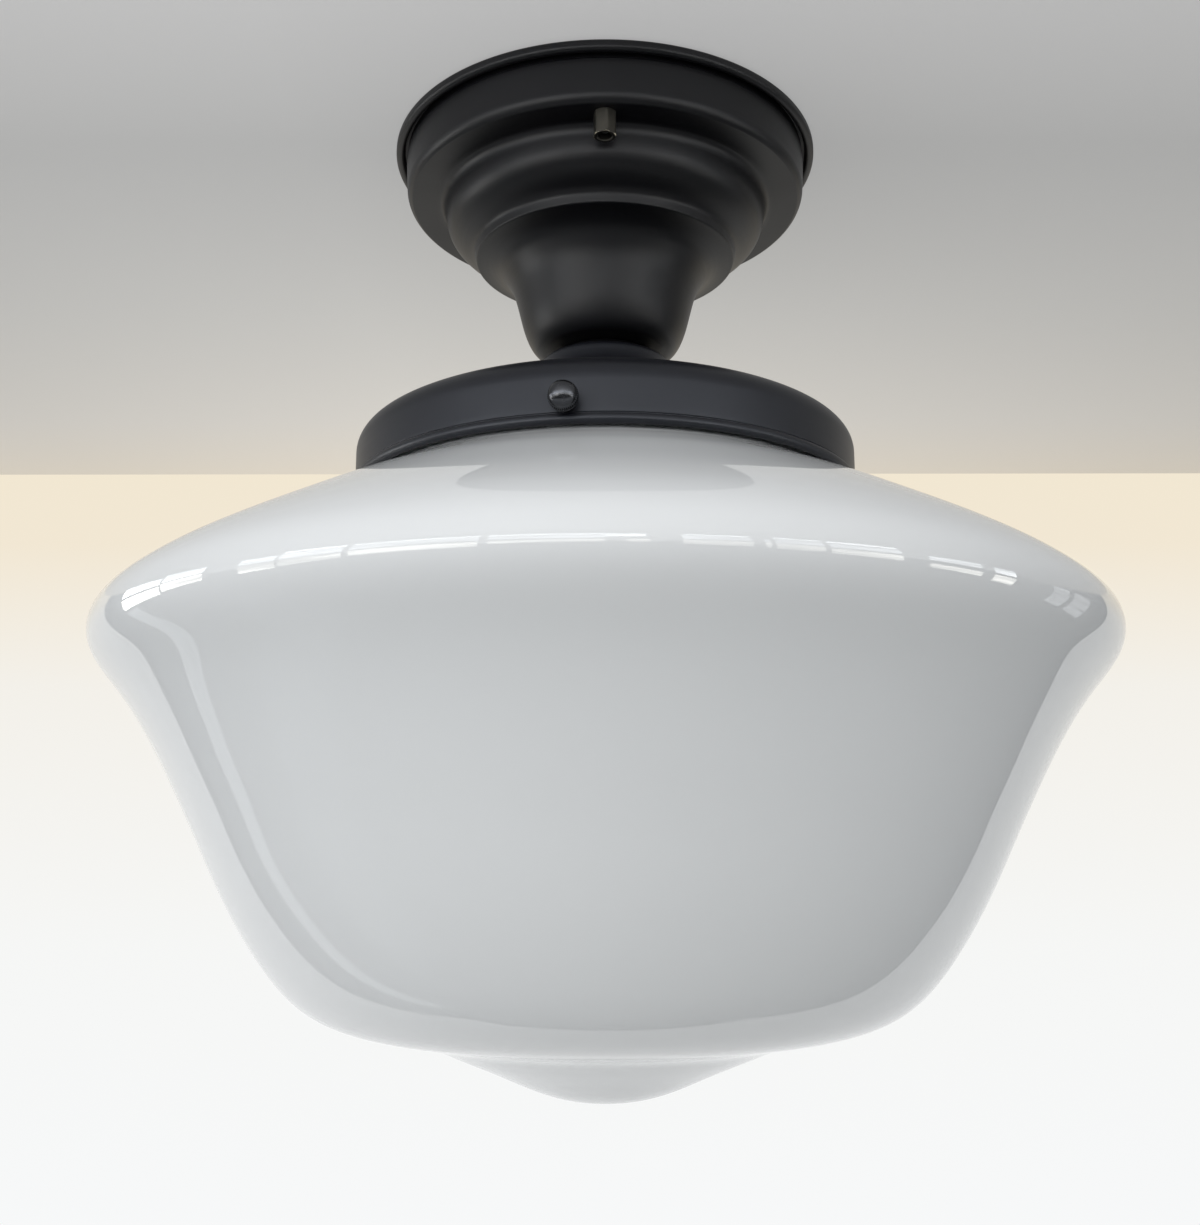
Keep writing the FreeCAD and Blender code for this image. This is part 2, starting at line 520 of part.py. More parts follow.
for name, s in OUT.items():
    s.exportStep("parts/%s.step" % name)
    b = s.BoundBox
    print("%-22s solids %d vol %9.1f  x %.1f..%.1f y %.1f..%.1f z %.1f..%.1f %s" % (
        name, len(s.Solids), s.Volume, b.XMin, b.XMax, b.YMin, b.YMax, b.ZMin, b.ZMax, s.isValid()))
print("nodes", len(OUT))
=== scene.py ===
import bpy, bmesh, math, random
from mathutils import Vector, Matrix


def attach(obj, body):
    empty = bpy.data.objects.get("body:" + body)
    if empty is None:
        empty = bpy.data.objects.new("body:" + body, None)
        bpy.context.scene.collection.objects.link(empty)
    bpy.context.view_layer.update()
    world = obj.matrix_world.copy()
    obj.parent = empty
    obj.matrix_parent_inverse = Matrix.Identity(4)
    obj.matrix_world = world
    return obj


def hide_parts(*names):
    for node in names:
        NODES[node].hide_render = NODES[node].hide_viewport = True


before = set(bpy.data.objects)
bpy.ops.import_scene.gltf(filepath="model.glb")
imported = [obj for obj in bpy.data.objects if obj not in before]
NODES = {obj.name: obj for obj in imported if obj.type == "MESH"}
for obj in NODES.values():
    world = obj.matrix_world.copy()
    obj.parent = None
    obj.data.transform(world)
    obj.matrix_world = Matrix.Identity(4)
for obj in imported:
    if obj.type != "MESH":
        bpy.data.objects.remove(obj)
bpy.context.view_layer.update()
MM = 0.001
TAU = 2 * math.pi

# =====================================================================================================
# profiles, (r, z) in millimetres
# =====================================================================================================


def arc_pts(a, m, b, n=8):
    # circle through three points, from a to b by way of m
    ax, ay = a
    bx, by = m
    cx, cy = b
    d = 2 * (ax * (by - cy) + bx * (cy - ay) + cx * (ay - by))
    ux = ((ax * ax + ay * ay) * (by - cy) + (bx * bx + by * by) * (cy - ay) + (cx * cx + cy * cy) * (ay - by)) / d
    uy = ((ax * ax + ay * ay) * (cx - bx) + (bx * bx + by * by) * (ax - cx) + (cx * cx + cy * cy) * (bx - ax)) / d
    r = math.hypot(ax - ux, ay - uy)
    t0 = math.atan2(ay - uy, ax - ux)
    tm = math.atan2(by - uy, bx - ux)
    t1 = math.atan2(cy - uy, cx - ux)
    while tm < t0:
        tm += TAU
    while t1 < t0:
        t1 += TAU
    if tm > t1:          # the other way round
        t1 -= TAU
    return [(ux + r * math.cos(t0 + (t1 - t0) * i / n), uy + r * math.sin(t0 + (t1 - t0) * i / n)) for i in range(n + 1)]


def unit(t):
    n = math.hypot(t[0], t[1])
    return (t[0] / n, t[1] / n)


def smooth_pts(pts, t0=None, t1=None, step=0.6):
    # the same curve as the part: cubic pieces on chord length
    n = len(pts)
    u = [0.0]
    for i in range(1, n):
        u.append(u[-1] + math.hypot(pts[i][0] - pts[i - 1][0], pts[i][1] - pts[i - 1][1]))
    d = []
    for i in range(n - 1):
        h = u[i + 1] - u[i]
        d.append(((pts[i + 1][0] - pts[i][0]) / h, (pts[i + 1][1] - pts[i][1]) / h))
    t = [None] * n
    for i in range(1, n - 1):
        a, b = u[i] - u[i - 1], u[i + 1] - u[i]
        t[i] = tuple((d[i - 1][k] * b + d[i][k] * a) / (a + b) for k in (0, 1))
    t[0] = unit(t0) if t0 else tuple(2 * d[0][k] - t[1][k] for k in (0, 1))
    t[-1] = unit(t1) if t1 else tuple(2 * d[-1][k] - t[-2][k] for k in (0, 1))
    out = [pts[0]]
    for i in range(n - 1):
        h = (u[i + 1] - u[i]) / 3.0
        p0, p3 = pts[i], pts[i + 1]
        p1 = (p0[0] + t[i][0] * h, p0[1] + t[i][1] * h)
        p2 = (p3[0] - t[i + 1][0] * h, p3[1] - t[i + 1][1] * h)
        k = max(3, int(math.ceil((u[i + 1] - u[i]) / step)))
        for j in range(1, k + 1):
            s = j / k
            a, b, c, e = (1 - s) ** 3, 3 * s * (1 - s) ** 2, 3 * s * s * (1 - s), s ** 3
            out.append((a * p0[0] + b * p1[0] + c * p2[0] + e * p3[0], a * p0[1] + b * p1[1] + c * p2[1] + e * p3[1]))
    return out


def resample(pts, step):
    u = [0.0]
    for i in range(1, len(pts)):
        u.append(u[-1] + math.hypot(pts[i][0] - pts[i - 1][0], pts[i][1] - pts[i - 1][1]))
    n = max(2, int(round(u[-1] / step)))
    out, k = [], 0
    for i in range(n + 1):
        s = u[-1] * i / n
        while k < len(u) - 2 and u[k + 1] < s:
            k += 1
        f = (s - u[k]) / max(1e-9, u[k + 1] - u[k])
        out.append((pts[k][0] + (pts[k + 1][0] - pts[k][0]) * f, pts[k][1] + (pts[k + 1][1] - pts[k][1]) * f))
    return out


def fair(pts, step, sigma, rounds=1):
    # evens out the curvature of a sampled line, with its ends held
    p = resample(pts, step)
    w = int(math.ceil(3 * sigma / step))
    ker = [math.exp(-0.5 * (k * step / sigma) ** 2) for k in range(-w, w + 1)]
    for _ in range(rounds):
        q = []
        n = len(p)
        for i in range(n):
            m = min(i, n - 1 - i, w)
            sx = sy = sw = 0.0
            for k in range(-m, m + 1):
                g = ker[k + w]
                sx += g * p[i + k][0]
                sy += g * p[i + k][1]
                sw += g
            q.append((sx / sw, sy / sw))
        p = q
    return p


def join(*runs):
    out = []
    for r in runs:
        for p in r:
            if not out or math.hypot(p[0] - out[-1][0], p[1] - out[-1][1]) > 1e-4:
                out.append(tuple(p))
    if math.hypot(out[0][0] - out[-1][0], out[0][1] - out[-1][1]) < 1e-4:
        out.pop()
    return out


def soften(pts, rad, min_turn=24.0, closed=True, n=4):
    # small round on every sharp corner of a closed line
    out = []
    m = len(pts)
    for i in range(m):
        p = pts[i]
        if not closed and i in (0, m - 1):
            out.append(p)
            continue
        a, b = pts[i - 1], pts[(i + 1) % m]
        v1 = (p[0] - a[0], p[1] - a[1])
        v2 = (b[0] - p[0], b[1] - p[1])
        l1, l2 = math.hypot(*v1), math.hypot(*v2)
        if l1 < 1e-9 or l2 < 1e-9 or (abs(p[0]) < 1e-6):
            out.append(p)
            continue
        turn = abs(math.degrees(math.atan2(v1[0] * v2[1] - v1[1] * v2[0], v1[0] * v2[0] + v1[1] * v2[1])))
        if turn < min_turn:
            out.append(p)
            continue
        c = min(rad * math.tan(math.radians(turn) / 2), 0.45 * l1, 0.45 * l2)
        s = (p[0] - v1[0] / l1 * c, p[1] - v1[1] / l1 * c)
        e = (p[0] + v2[0] / l2 * c, p[1] + v2[1] / l2 * c)
        for k in range(n + 1):
            t = k / n
            out.append(((1 - t) ** 2 * s[0] + 2 * t * (1 - t) * p[0] + t * t * e[0],
                        (1 - t) ** 2 * s[1] + 2 * t * (1 - t) * p[1] + t * t * e[1]))
    return out


# =====================================================================================================
# meshes
# =====================================================================================================


def finish_mesh(name, bm, sharp=32.0, mats=()):
    bmesh.ops.remove_doubles(bm, verts=bm.verts, dist=1e-7)
    bmesh.ops.recalc_face_normals(bm, faces=bm.faces)
    me = bpy.data.meshes.new(name)
    bm.to_mesh(me)
    bm.free()
    for p in me.polygons:
        p.use_smooth = True
    me.set_sharp_from_angle(angle=math.radians(sharp))
    ob = bpy.data.objects.new(name, me)
    bpy.context.scene.collection.objects.link(ob)
    for m in mats:
        me.materials.append(m)
    return ob


def lathe_bm(bm, prof, n=256, closed=True, place=None, mat_of=None):
    # prof in mm; place maps a point (mm) to metres
    rings = []
    for (r, z) in prof:
        if abs(r) < 1e-5:
            v = Vector((0, 0, z))
            rings.append([bm.verts.new(place(v) if place else v * MM)])
        else:
            row = []
            for k in range(n):
                a = TAU * k / n
                v = Vector((r * math.cos(a), r * math.sin(a), z))
                row.append(bm.verts.new(place(v) if place else v * MM))
            rings.append(row)
    m = len(rings)
    for i in range(m if closed else m - 1):
        a, b = rings[i], rings[(i + 1) % m]
        if len(a) == 1 and len(b) == 1:
            continue
        for k in range(n):
            k2 = (k + 1) % n
            if len(a) == 1:
                f = bm.faces.new((a[0], b[k], b[k2]))
            elif len(b) == 1:
                f = bm.faces.new((a[k], b[0], a[k2]))
            else:
                f = bm.faces.new((a[k], b[k], b[k2], a[k2]))
            if mat_of:
                f.material_index = mat_of(i)
    return rings


def lathe(name, prof, mats, n=256, sharp=32.0, place=None, mat_of=None):
    bm = bmesh.new()
    lathe_bm(bm, prof, n, True, place, mat_of)
    return finish_mesh(name, bm, sharp, mats)


def cut_holes(ob, cutters):
    for c in cutters:
        md = ob.modifiers.new("hole", "BOOLEAN")
        md.operation = "DIFFERENCE"
        md.solver = "EXACT"
        md.object = c
    dg = bpy.context.evaluated_depsgraph_get()
    me = bpy.data.meshes.new_from_object(ob.evaluated_get(dg))
    ob.modifiers.clear()
    old = ob.data
    ob.data = me
    me.name = old.name + "_m"
    bpy.data.meshes.remove(old)
    for c in cutters:
        cm = c.data
        bpy.data.objects.remove(c)
        bpy.data.meshes.remove(cm)
    bm = bmesh.new()
    bm.from_mesh(me)
    bmesh.ops.remove_doubles(bm, verts=bm.verts, dist=3e-6)
    bmesh.ops.dissolve_degenerate(bm, edges=bm.edges, dist=1e-6)
    gaps = [e for e in bm.edges if e.is_boundary]
    if gaps:
        bmesh.ops.holes_fill(bm, edges=gaps, sides=0)
    bmesh.ops.recalc_face_normals(bm, faces=bm.faces)
    bm.to_mesh(me)
    bm.free()
    for p in me.polygons:
        p.use_smooth = True
    me.set_sharp_from_angle(angle=math.radians(32))
    return ob


def round_cutter(r, p0, p1, n=48):
    # closed cylinder from p0 to p1, metres
    d = (p1 - p0)
    q = d.to_track_quat("Z", "Y")
    bm = bmesh.new()
    place = lambda v: p0 + q @ (v * MM)
    L = d.length / MM
    lathe_bm(bm, [(0, 0), (r, 0), (r, L), (0, L)], n, False, place)
    return finish_mesh("cutter", bm)


def thread_rod(name, mats, place, z0, z1, minor, major, pitch, seg=48, per=10, cham0=0.7, cham1=0.7, bore=None, starts_flat=0.0):
    # rod with a real helical thread, z0 < z1, in mm before place
    bm = bmesh.new()
    rows = int((z1 - z0) / pitch * per)
    grid = []
    for i in range(rows + 1):
        z = z0 + (z1 - z0) * i / rows
        e = min((z - z0) / cham0 if cham0 else 1.0, (z1 - z) / cham1 if cham1 else 1.0, 1.0)
        top = minor - 0.15 + (major - minor + 0.15) * max(0.0, e)
        row = []
        for k in range(seg):
            a = TAU * k / seg
            ph = (z / pitch - k / seg) % 1.0
            tri = abs(2 * ph - 1)
            tri = min(1.0, max(0.0, (tri - 0.12) / 0.74))
            r = min(minor + (major - minor) * tri, top)
            row.append(bm.verts.new(place(Vector((r * math.cos(a), r * math.sin(a), z)))))
        grid.append(row)
    for i in range(rows):
        for k in range(seg):
            k2 = (k + 1) % seg
            bm.faces.new((grid[i][k], grid[i][k2], grid[i + 1][k2], grid[i + 1][k]))
    if bore:
        inner = []
        for z in (z0, z1):
            inner.append([bm.verts.new(place(Vector((bore * math.cos(TAU * k / seg), bore * math.sin(TAU * k / seg), z)))) for k in range(seg)])
        for k in range(seg):
            k2 = (k + 1) % seg
            bm.faces.new((inner[0][k], inner[1][k], inner[1][k2], inner[0][k2]))
            bm.faces.new((grid[0][k], inner[0][k], inner[0][k2], grid[0][k2]))
            bm.faces.new((grid[-1][k], grid[-1][k2], inner[1][k2], inner[1][k]))
    else:
        for row, z in ((grid[0], z0), (grid[-1], z1)):
            c = bm.verts.new(place(Vector((0, 0, z))))
            for k in range(seg):
                k2 = (k + 1) % seg
                bm.faces.new((row[k], c, row[k2]) if row is grid[-1] else (row[k2], c, row[k]))
    return finish_mesh(name, bm, 40.0, mats)


# =====================================================================================================
# materials
# =====================================================================================================


class Mat:
    def __init__(self, name):
        self.m = bpy.data.materials.new(name)
        self.m.use_nodes = True
        self.nt = self.m.node_tree
        for n in list(self.nt.nodes):
            self.nt.nodes.remove(n)
        self.out = self.nt.nodes.new("ShaderNodeOutputMaterial")
        self.b = self.nt.nodes.new("ShaderNodeBsdfPrincipled")
        self.nt.links.new(self.b.outputs[0], self.out.inputs[0])
        self.tc = self.nt.nodes.new("ShaderNodeTexCoord")

    def node(self, kind, **kw):
        n = self.nt.nodes.new(kind)
        for k, v in kw.items():
            if k in n.inputs.keys():
                n.inputs[k].default_value = v
            else:
                setattr(n, k, v)
        return n

    def link(self, a, b):
        self.nt.links.new(a, b)
        return b

    def mapping(self, scale=(1, 1, 1), rot=(0, 0, 0), loc=(0, 0, 0)):
        n = self.node("ShaderNodeMapping")
        n.inputs["Scale"].default_value = scale
        n.inputs["Rotation"].default_value = rot
        n.inputs["Location"].default_value = loc
        self.link(self.tc.outputs["Object"], n.inputs["Vector"])
        return n.outputs[0]

    def noise(self, scale, detail=3.0, rough=0.5, vec=None, dist=0.0):
        n = self.node("ShaderNodeTexNoise")
        n.inputs["Scale"].default_value = scale
        n.inputs["Detail"].default_value = detail
        n.inputs["Roughness"].default_value = rough
        n.inputs["Distortion"].default_value = dist
        self.link(vec if vec is not None else self.tc.outputs["Object"], n.inputs["Vector"])
        return n.outputs["Fac"]

    def voronoi(self, scale, vec=None, feature="F1"):
        n = self.node("ShaderNodeTexVoronoi", feature=feature)
        n.inputs["Scale"].default_value = scale
        self.link(vec if vec is not None else self.tc.outputs["Object"], n.inputs["Vector"])
        return n

    def ramp(self, fac, stops, interp="LINEAR"):
        n = self.node("ShaderNodeValToRGB")
        cr = n.color_ramp
        cr.interpolation = interp
        while len(cr.elements) > 1:
            cr.elements.remove(cr.elements[0])
        cr.elements[0].position = stops[0][0]
        cr.elements[0].color = col(stops[0][1])
        for pos, c in stops[1:]:
            e = cr.elements.new(pos)
            e.color = col(c)
        self.link(fac, n.inputs[0])
        return n.outputs[0]

    def rng(self, fac, a, b, c, d, clamp=True):
        n = self.node("ShaderNodeMapRange", clamp=clamp)
        n.inputs[1].default_value = a
        n.inputs[2].default_value = b
        n.inputs[3].default_value = c
        n.inputs[4].default_value = d
        self.link(fac, n.inputs[0])
        return n.outputs[0]

    def math(self, op, a, b=None, clamp=False):
        n = self.node("ShaderNodeMath", operation=op, use_clamp=clamp)
        for i, v in enumerate((a, b)):
            if v is None:
                continue
            if isinstance(v, (int, float)):
                n.inputs[i].default_value = v
            else:
                self.link(v, n.inputs[i])
        return n.outputs[0]

    def mix(self, fac, a, b, kind="MIX"):
        n = self.node("ShaderNodeMix", data_type="RGBA", blend_type=kind)
        if isinstance(fac, (int, float)):
            n.inputs[0].default_value = fac
        else:
            self.link(fac, n.inputs[0])
        for sock, v in ((n.inputs[6], a), (n.inputs[7], b)):
            if isinstance(v, tuple):
                sock.default_value = col(v)
            else:
                self.link(v, sock)
        return n.outputs[2]

    def bump(self, height, strength, dist, normal=None):
        n = self.node("ShaderNodeBump")
        n.inputs["Strength"].default_value = strength
        n.inputs["Distance"].default_value = dist
        self.link(height, n.inputs["Height"])
        if normal is not None:
            self.link(normal, n.inputs["Normal"])
        return n.outputs[0]

    def set(self, **kw):
        for k, v in kw.items():
            s = self.b.inputs[k.replace("_", " ")]
            if isinstance(v, (int, float)):
                s.default_value = v
            elif isinstance(v, tuple):
                s.default_value = col(v)
            else:
                self.link(v, s)
        return self


def col(c):
    return (c[0], c[1], c[2], 1.0)


def dark_metal(name, base=(0.0020, 0.0021, 0.0034), base2=(0.0032, 0.0032, 0.0045), rough=(0.40, 0.47), spec=0.29, tint=(1, 1, 1)):
    # satin blue-black finish on spun steel: faint turning lines, very fine orange peel, a few pale dust specks
    m = Mat(name)
    big = m.noise(22.0, 4.0, 0.55)
    fine = m.noise(900.0, 2.0, 0.5)
    ring = m.noise(1.0, 3.0, 0.6, m.mapping((40, 40, 2600)))
    c = m.mix(m.rng(big, 0.3, 0.7, 0, 1), base, base2)
    vor = m.voronoi(210.0)
    pick = m.ramp(vor.outputs["Color"], [(0.0, (0, 0, 0)), (0.93, (0, 0, 0)), (0.94, (1, 1, 1))], "CONSTANT")
    dot = m.math("MULTIPLY", m.rng(vor.outputs["Distance"], 0.05, 0.09, 1.0, 0.0), pick)
    c = m.mix(m.math("MULTIPLY", dot, 0.30), c, (0.22, 0.20, 0.18))
    m.set(Base_Color=c)
    r = m.rng(m.math("ADD", m.math("MULTIPLY", big, 0.6), m.math("MULTIPLY", ring, 0.4)), 0.3, 0.7, rough[0], rough[1])
    m.set(Roughness=r)
    h = m.math("ADD", m.math("MULTIPLY", fine, 0.6), m.math("MULTIPLY", ring, 0.4))
    m.link(m.bump(h, 0.10, 0.0002), m.b.inputs["Normal"])
    m.b.inputs["Specular IOR Level"].default_value = spec
    m.b.inputs["Specular Tint"].default_value = col(tint)
    m.b.inputs["Metallic"].default_value = 0.0
    m.b.inputs["IOR"].default_value = 1.5
    return m.m


def opal(name):
    # polished opal glass: cool white body, mirror skin with very slight waves, rare dark seeds
    m = Mat(name)
    big = m.noise(7.0, 3.0, 0.5)
    c = m.mix(m.rng(big, 0.3, 0.7, 0, 1), (0.715, 0.735, 0.750), (0.735, 0.755, 0.768))
    vor = m.voronoi(30.0)
    pick = m.ramp(vor.outputs["Color"], [(0.0, (0, 0, 0)), (0.84, (0, 0, 0)), (0.85, (1, 1, 1))], "CONSTANT")
    dot = m.math("MULTIPLY", m.rng(vor.outputs["Distance"], 0.010, 0.018, 1.0, 0.0), pick)
    c = m.mix(m.math("MULTIPLY", dot, 0.55), c, (0.12, 0.12, 0.12))
    m.set(Base_Color=c)
    m.set(Roughness=m.rng(m.noise(35.0, 3.0, 0.5), 0.3, 0.75, 0.010, 0.022))
    wave = m.noise(16.0, 1.0, 0.4)
    m.link(m.bump(wave, 0.16, 0.0011), m.b.inputs["Normal"])
    m.b.inputs["IOR"].default_value = 1.5
    m.b.inputs["Specular IOR Level"].default_value = 0.5
    m.b.inputs["Subsurface Weight"].default_value = 0.0
    return m.m


def metal(name, c1, c2, r1, r2, metallic=1.0, fine=700.0, bump=0.05, scratch=True):
    m = Mat(name)
    big = m.noise(120.0, 4.0, 0.6)
    m.set(Base_Color=m.mix(m.rng(big, 0.3, 0.7, 0, 1), c1, c2))
    sc = m.noise(1.0, 2.0, 0.6, m.mapping((300, 300, 3500)))
    m.set(Roughness=m.rng(m.math("ADD", m.math("MULTIPLY", big, 0.5), m.math("MULTIPLY", sc, 0.5)), 0.3, 0.7, r1, r2))
    m.link(m.bump(m.math("ADD", m.noise(fine, 2.0, 0.5), m.math("MULTIPLY", sc, 0.6)), bump, 0.0002), m.b.inputs["Normal"])
    m.b.inputs["Metallic"].default_value = metallic
    return m.m


def plastic(name, c1, c2, rough=0.4, bump=0.08, scale=500.0, coat=0.0):
    m = Mat(name)
    big = m.noise(60.0, 4.0, 0.6)
    m.set(Base_Color=m.mix(m.rng(big, 0.3, 0.7, 0, 1), c1, c2))
    m.set(Roughness=m.rng(m.noise(180.0, 2.0, 0.5), 0.3, 0.7, rough * 0.9, rough * 1.15))
    m.link(m.bump(m.noise(scale, 3.0, 0.6), bump, 0.0002), m.b.inputs["Normal"])
    if coat:
        m.b.inputs["Coat Weight"].default_value = coat
        m.b.inputs["Coat Roughness"].default_value = 0.06
    return m.m


M_BRONZE = dark_metal("satin_dark_metal")
# the holder's copy of the same finish is painted lighter and bluer, with a stronger bluish sheen: painted light, so the
# skirt shows brighter than the canopy above it
M_HOLDER_PAINTED_LIGHTER = dark_metal("satin_dark_metal_holder_painted_lighter", base=(0.0040, 0.0043, 0.0070), base2=(0.0055, 0.0058, 0.0086), rough=(0.38, 0.44), spec=0.40,
                      tint=(0.88, 0.92, 1.0))
M_INSIDE = dark_metal("canopy_inside_metal", base=(0.03, 0.03, 0.032), base2=(0.045, 0.044, 0.044), rough=(0.45, 0.55))
M_OPAL = opal("opal_glass")
M_SCREW = metal("black_nickel", (0.050, 0.052, 0.058), (0.075, 0.077, 0.083), 0.20, 0.30, 1.0, 900.0, 0.04)
M_NUT = metal("nut_dark_bronze", (0.060, 0.058, 0.052), (0.085, 0.080, 0.068), 0.34, 0.46, 1.0, 800.0, 0.15)
M_EDGE = metal("nut_worn_edge", (0.55, 0.50, 0.36), (0.68, 0.62, 0.48), 0.22, 0.34, 1.0, 800.0, 0.10)
M_ZINC = metal("zinc_steel", (0.50, 0.50, 0.48), (0.62, 0.62, 0.60), 0.30, 0.45, 1.0, 500.0, 0.10)
M_BRASS = metal("brass_plain", (0.62, 0.44, 0.19), (0.74, 0.56, 0.28), 0.22, 0.36, 1.0, 600.0, 0.08)
M_GREEN = metal("green_plate", (0.03, 0.24, 0.08), (0.05, 0.30, 0.11), 0.28, 0.40, 0.75, 600.0, 0.08)
M_PORC = plastic("glazed_porcelain", (0.80, 0.79, 0.74), (0.84, 0.83, 0.79), 0.14, 0.05, 60.0, 0.6)
M_LBLACK = plastic("lead_black", (0.022, 0.022, 0.022), (0.03, 0.03, 0.03), 0.42, 0.10)
M_LWHITE = plastic("lead_white", (0.74, 0.74, 0.70), (0.80, 0.80, 0.77), 0.42, 0.10)
M_LGREEN = plastic("lead_green", (0.04, 0.25, 0.09), (0.05, 0.30, 0.12), 0.42, 0.10)
M_ORANGE = plastic("connector_orange", (0.72, 0.20, 0.03), (0.80, 0.25, 0.045), 0.36, 0.12, 700.0)
M_FROST = plastic("bulb_frost", (0.84, 0.84, 0.81), (0.88, 0.88, 0.86), 0.34, 0.06, 1500.0)
M_ALU = metal("bulb_aluminium", (0.70, 0.70, 0.69), (0.80, 0.80, 0.79), 0.22, 0.34, 1.0, 500.0, 0.08)
M_BGLASS = plastic("bulb_black_glass", (0.015, 0.015, 0.018), (0.025, 0.025, 0.028), 0.12, 0.03, 200.0)
M_SOLDER = metal("solder", (0.50, 0.50, 0.49), (0.62, 0.62, 0.61), 0.30, 0.5, 1.0, 400.0, 0.25)

CAD_MATS = {
    "crossbar": M_ZINC, "stud_locknuts": M_ZINC, "ground_screw": M_GREEN, "nipple_top_nut": M_BRASS,
    "nipple_lock_washer": M_ZINC, "ground_ring_washer": M_ZINC, "ground_lug": M_BRASS, "holder_lock_nut": M_BRASS,
    "lampholder_cap": M_PORC, "cap_set_screw": M_ZINC, "lampholder_body": M_PORC, "screw_shell": M_BRASS,
    "centre_contact": M_BRASS, "terminal_screws": M_BRASS, "terminal_plates": M_BRASS, "lampholder_screws": M_ZINC,
    "hot_lead": M_LBLACK, "neutral_lead": M_LWHITE, "ground_lead": M_LGREEN, "wire_connectors": M_ORANGE,
    "bulb_base": M_ALU, "bulb_insulator": M_BGLASS, "bulb_contact": M_SOLDER,
    "canopy_shell": M_BRONZE, "shade_holder": M_HOLDER_PAINTED_LIGHTER, "neck_spacer": M_BRONZE, "thumbscrew_bosses": M_BRONZE,
    "canopy_studs": M_ZINC, "nipple": M_ZINC, "canopy_nut_front": M_NUT, "canopy_nut_back": M_NUT,
    "glass_shade": M_OPAL, "bulb_glass": M_FROST,
}
for k in (1, 2, 3):
    CAD_MATS["thumbscrew_shank_%d" % k] = M_SCREW
    CAD_MATS["thumbscrew_head_%d" % k] = M_SCREW
for nm, mt in CAD_MATS.items():
    ob = NODES[nm]
    if not ob.material_slots:
        ob.data.materials.append(mt)
    for s in ob.material_slots:
        s.material = mt


def put(ob, body, slot, *nodes):
    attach(ob, body)
    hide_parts(*nodes)
    return ob


# =====================================================================================================
# canopy
# =====================================================================================================
STUD = 58.7
c_out = join(
    [(64.3, 0.0), (68.0, 0.0)], arc_pts((68.0, 0.0), (68.85, -0.35), (69.2, -1.2)), [(69.2, -2.1)],
    arc_pts((69.2, -2.1), (68.75, -3.1), (67.75, -3.45)), arc_pts((67.75, -3.45), (66.85, -3.1), (66.4, -2.3)),
    [(66.4, -1.0), (65.2, -1.0), (65.2, -3.5)], arc_pts((65.2, -3.5), (65.6, -3.8), (65.75, -4.3), 6),
    resample([(65.75, -4.3), (65.3, -14.0)], 2.0), arc_pts((65.3, -14.0), (64.85, -15.9), (63.9, -17.1), 8),
    [(63.5, -17.3)], resample([(63.5, -17.3), (54.8, -17.3)], 1.5),
    fair(smooth_pts([(54.8, -17.3), (53.5, -17.95), (52.8, -19.3), (52.45, -22.0), (51.9, -24.9), (50.7, -27.3),
                     (48.8, -29.3), (46.6, -30.9), (44.6, -32.1), (43.2, -33.2), (42.7, -34.5)], (-1, 0), (-0.15, -1)),
         0.35, 0.8),
    [(42.45, -36.2)], arc_pts((42.45, -36.2), (42.3, -36.6), (41.95, -36.8), 5),
    fair(smooth_pts([(41.95, -36.8), (39.0, -37.35), (36.1, -38.5), (33.7, -40.4), (32.1, -42.8), (30.85, -45.0),
                     (29.85, -47.4), (28.9, -50.5), (28.1, -53.6), (27.35, -56.6), (26.5, -59.8), (25.5, -62.6),
                     (24.2, -65.3), (22.9, -67.0), (21.2, -67.95), (19.2, -68.2)], (-1, -0.09), (-1, 0)), 0.4, 1.0),
    [(12.0, -68.2), (5.4, -68.2)])
c_in = join(
    [(5.4, -67.3), (12.0, -67.3)],
    smooth_pts([(19.2, -67.3), (20.8, -67.05), (22.15, -66.3), (23.35, -64.8), (24.6, -62.2), (25.6, -59.5),
                (26.45, -56.4), (27.2, -53.4), (28.0, -50.3), (28.95, -47.1), (29.95, -44.6), (31.2, -42.3),
                (33.0, -39.7), (35.6, -37.65), (38.7, -36.5), (41.1, -36.0)], (1, 0), (1, 0.1), 0.9),
    [(41.55, -35.6), (41.8, -34.4)],
    smooth_pts([(41.8, -34.4), (42.4, -32.7), (44.0, -31.35), (46.0, -30.1), (48.1, -28.6), (49.9, -26.8),
                (51.0, -24.7), (51.55, -21.9), (51.9, -19.1), (52.9, -17.1), (54.8, -16.4)], (0.15, 1), (1, 0), 0.9),
    [(63.1, -16.4)], arc_pts((63.1, -16.4), (64.0, -15.5), (64.4, -13.9), 6), [(64.8, -4.6), (64.3, -3.5)])
prof = soften(join(c_out, c_in), 0.22)
canopy = lathe("canopy_shell_visual", prof, [M_BRONZE], 320)
cutters = [round_cutter(2.5, Vector((0, s * STUD * MM, -0.0155)), Vector((0, s * STUD * MM, -0.0183))) for s in (-1, 1)]
cut_holes(canopy, cutters)
put(canopy, "canopy", "dark_bronze_metal", "canopy_shell")

sp = soften(join([(5.3, -68.2), (13.0, -68.2)], arc_pts((13.0, -68.2), (14.4, -68.8), (15.0, -69.7), 8),
                 arc_pts((15.0, -69.7), (14.4, -70.6), (13.0, -71.2), 8), [(5.3, -71.2)]), 0.2)
put(lathe("neck_spacer_visual", sp, [M_BRONZE], 160), "canopy", "dark_bronze_metal", "neck_spacer")

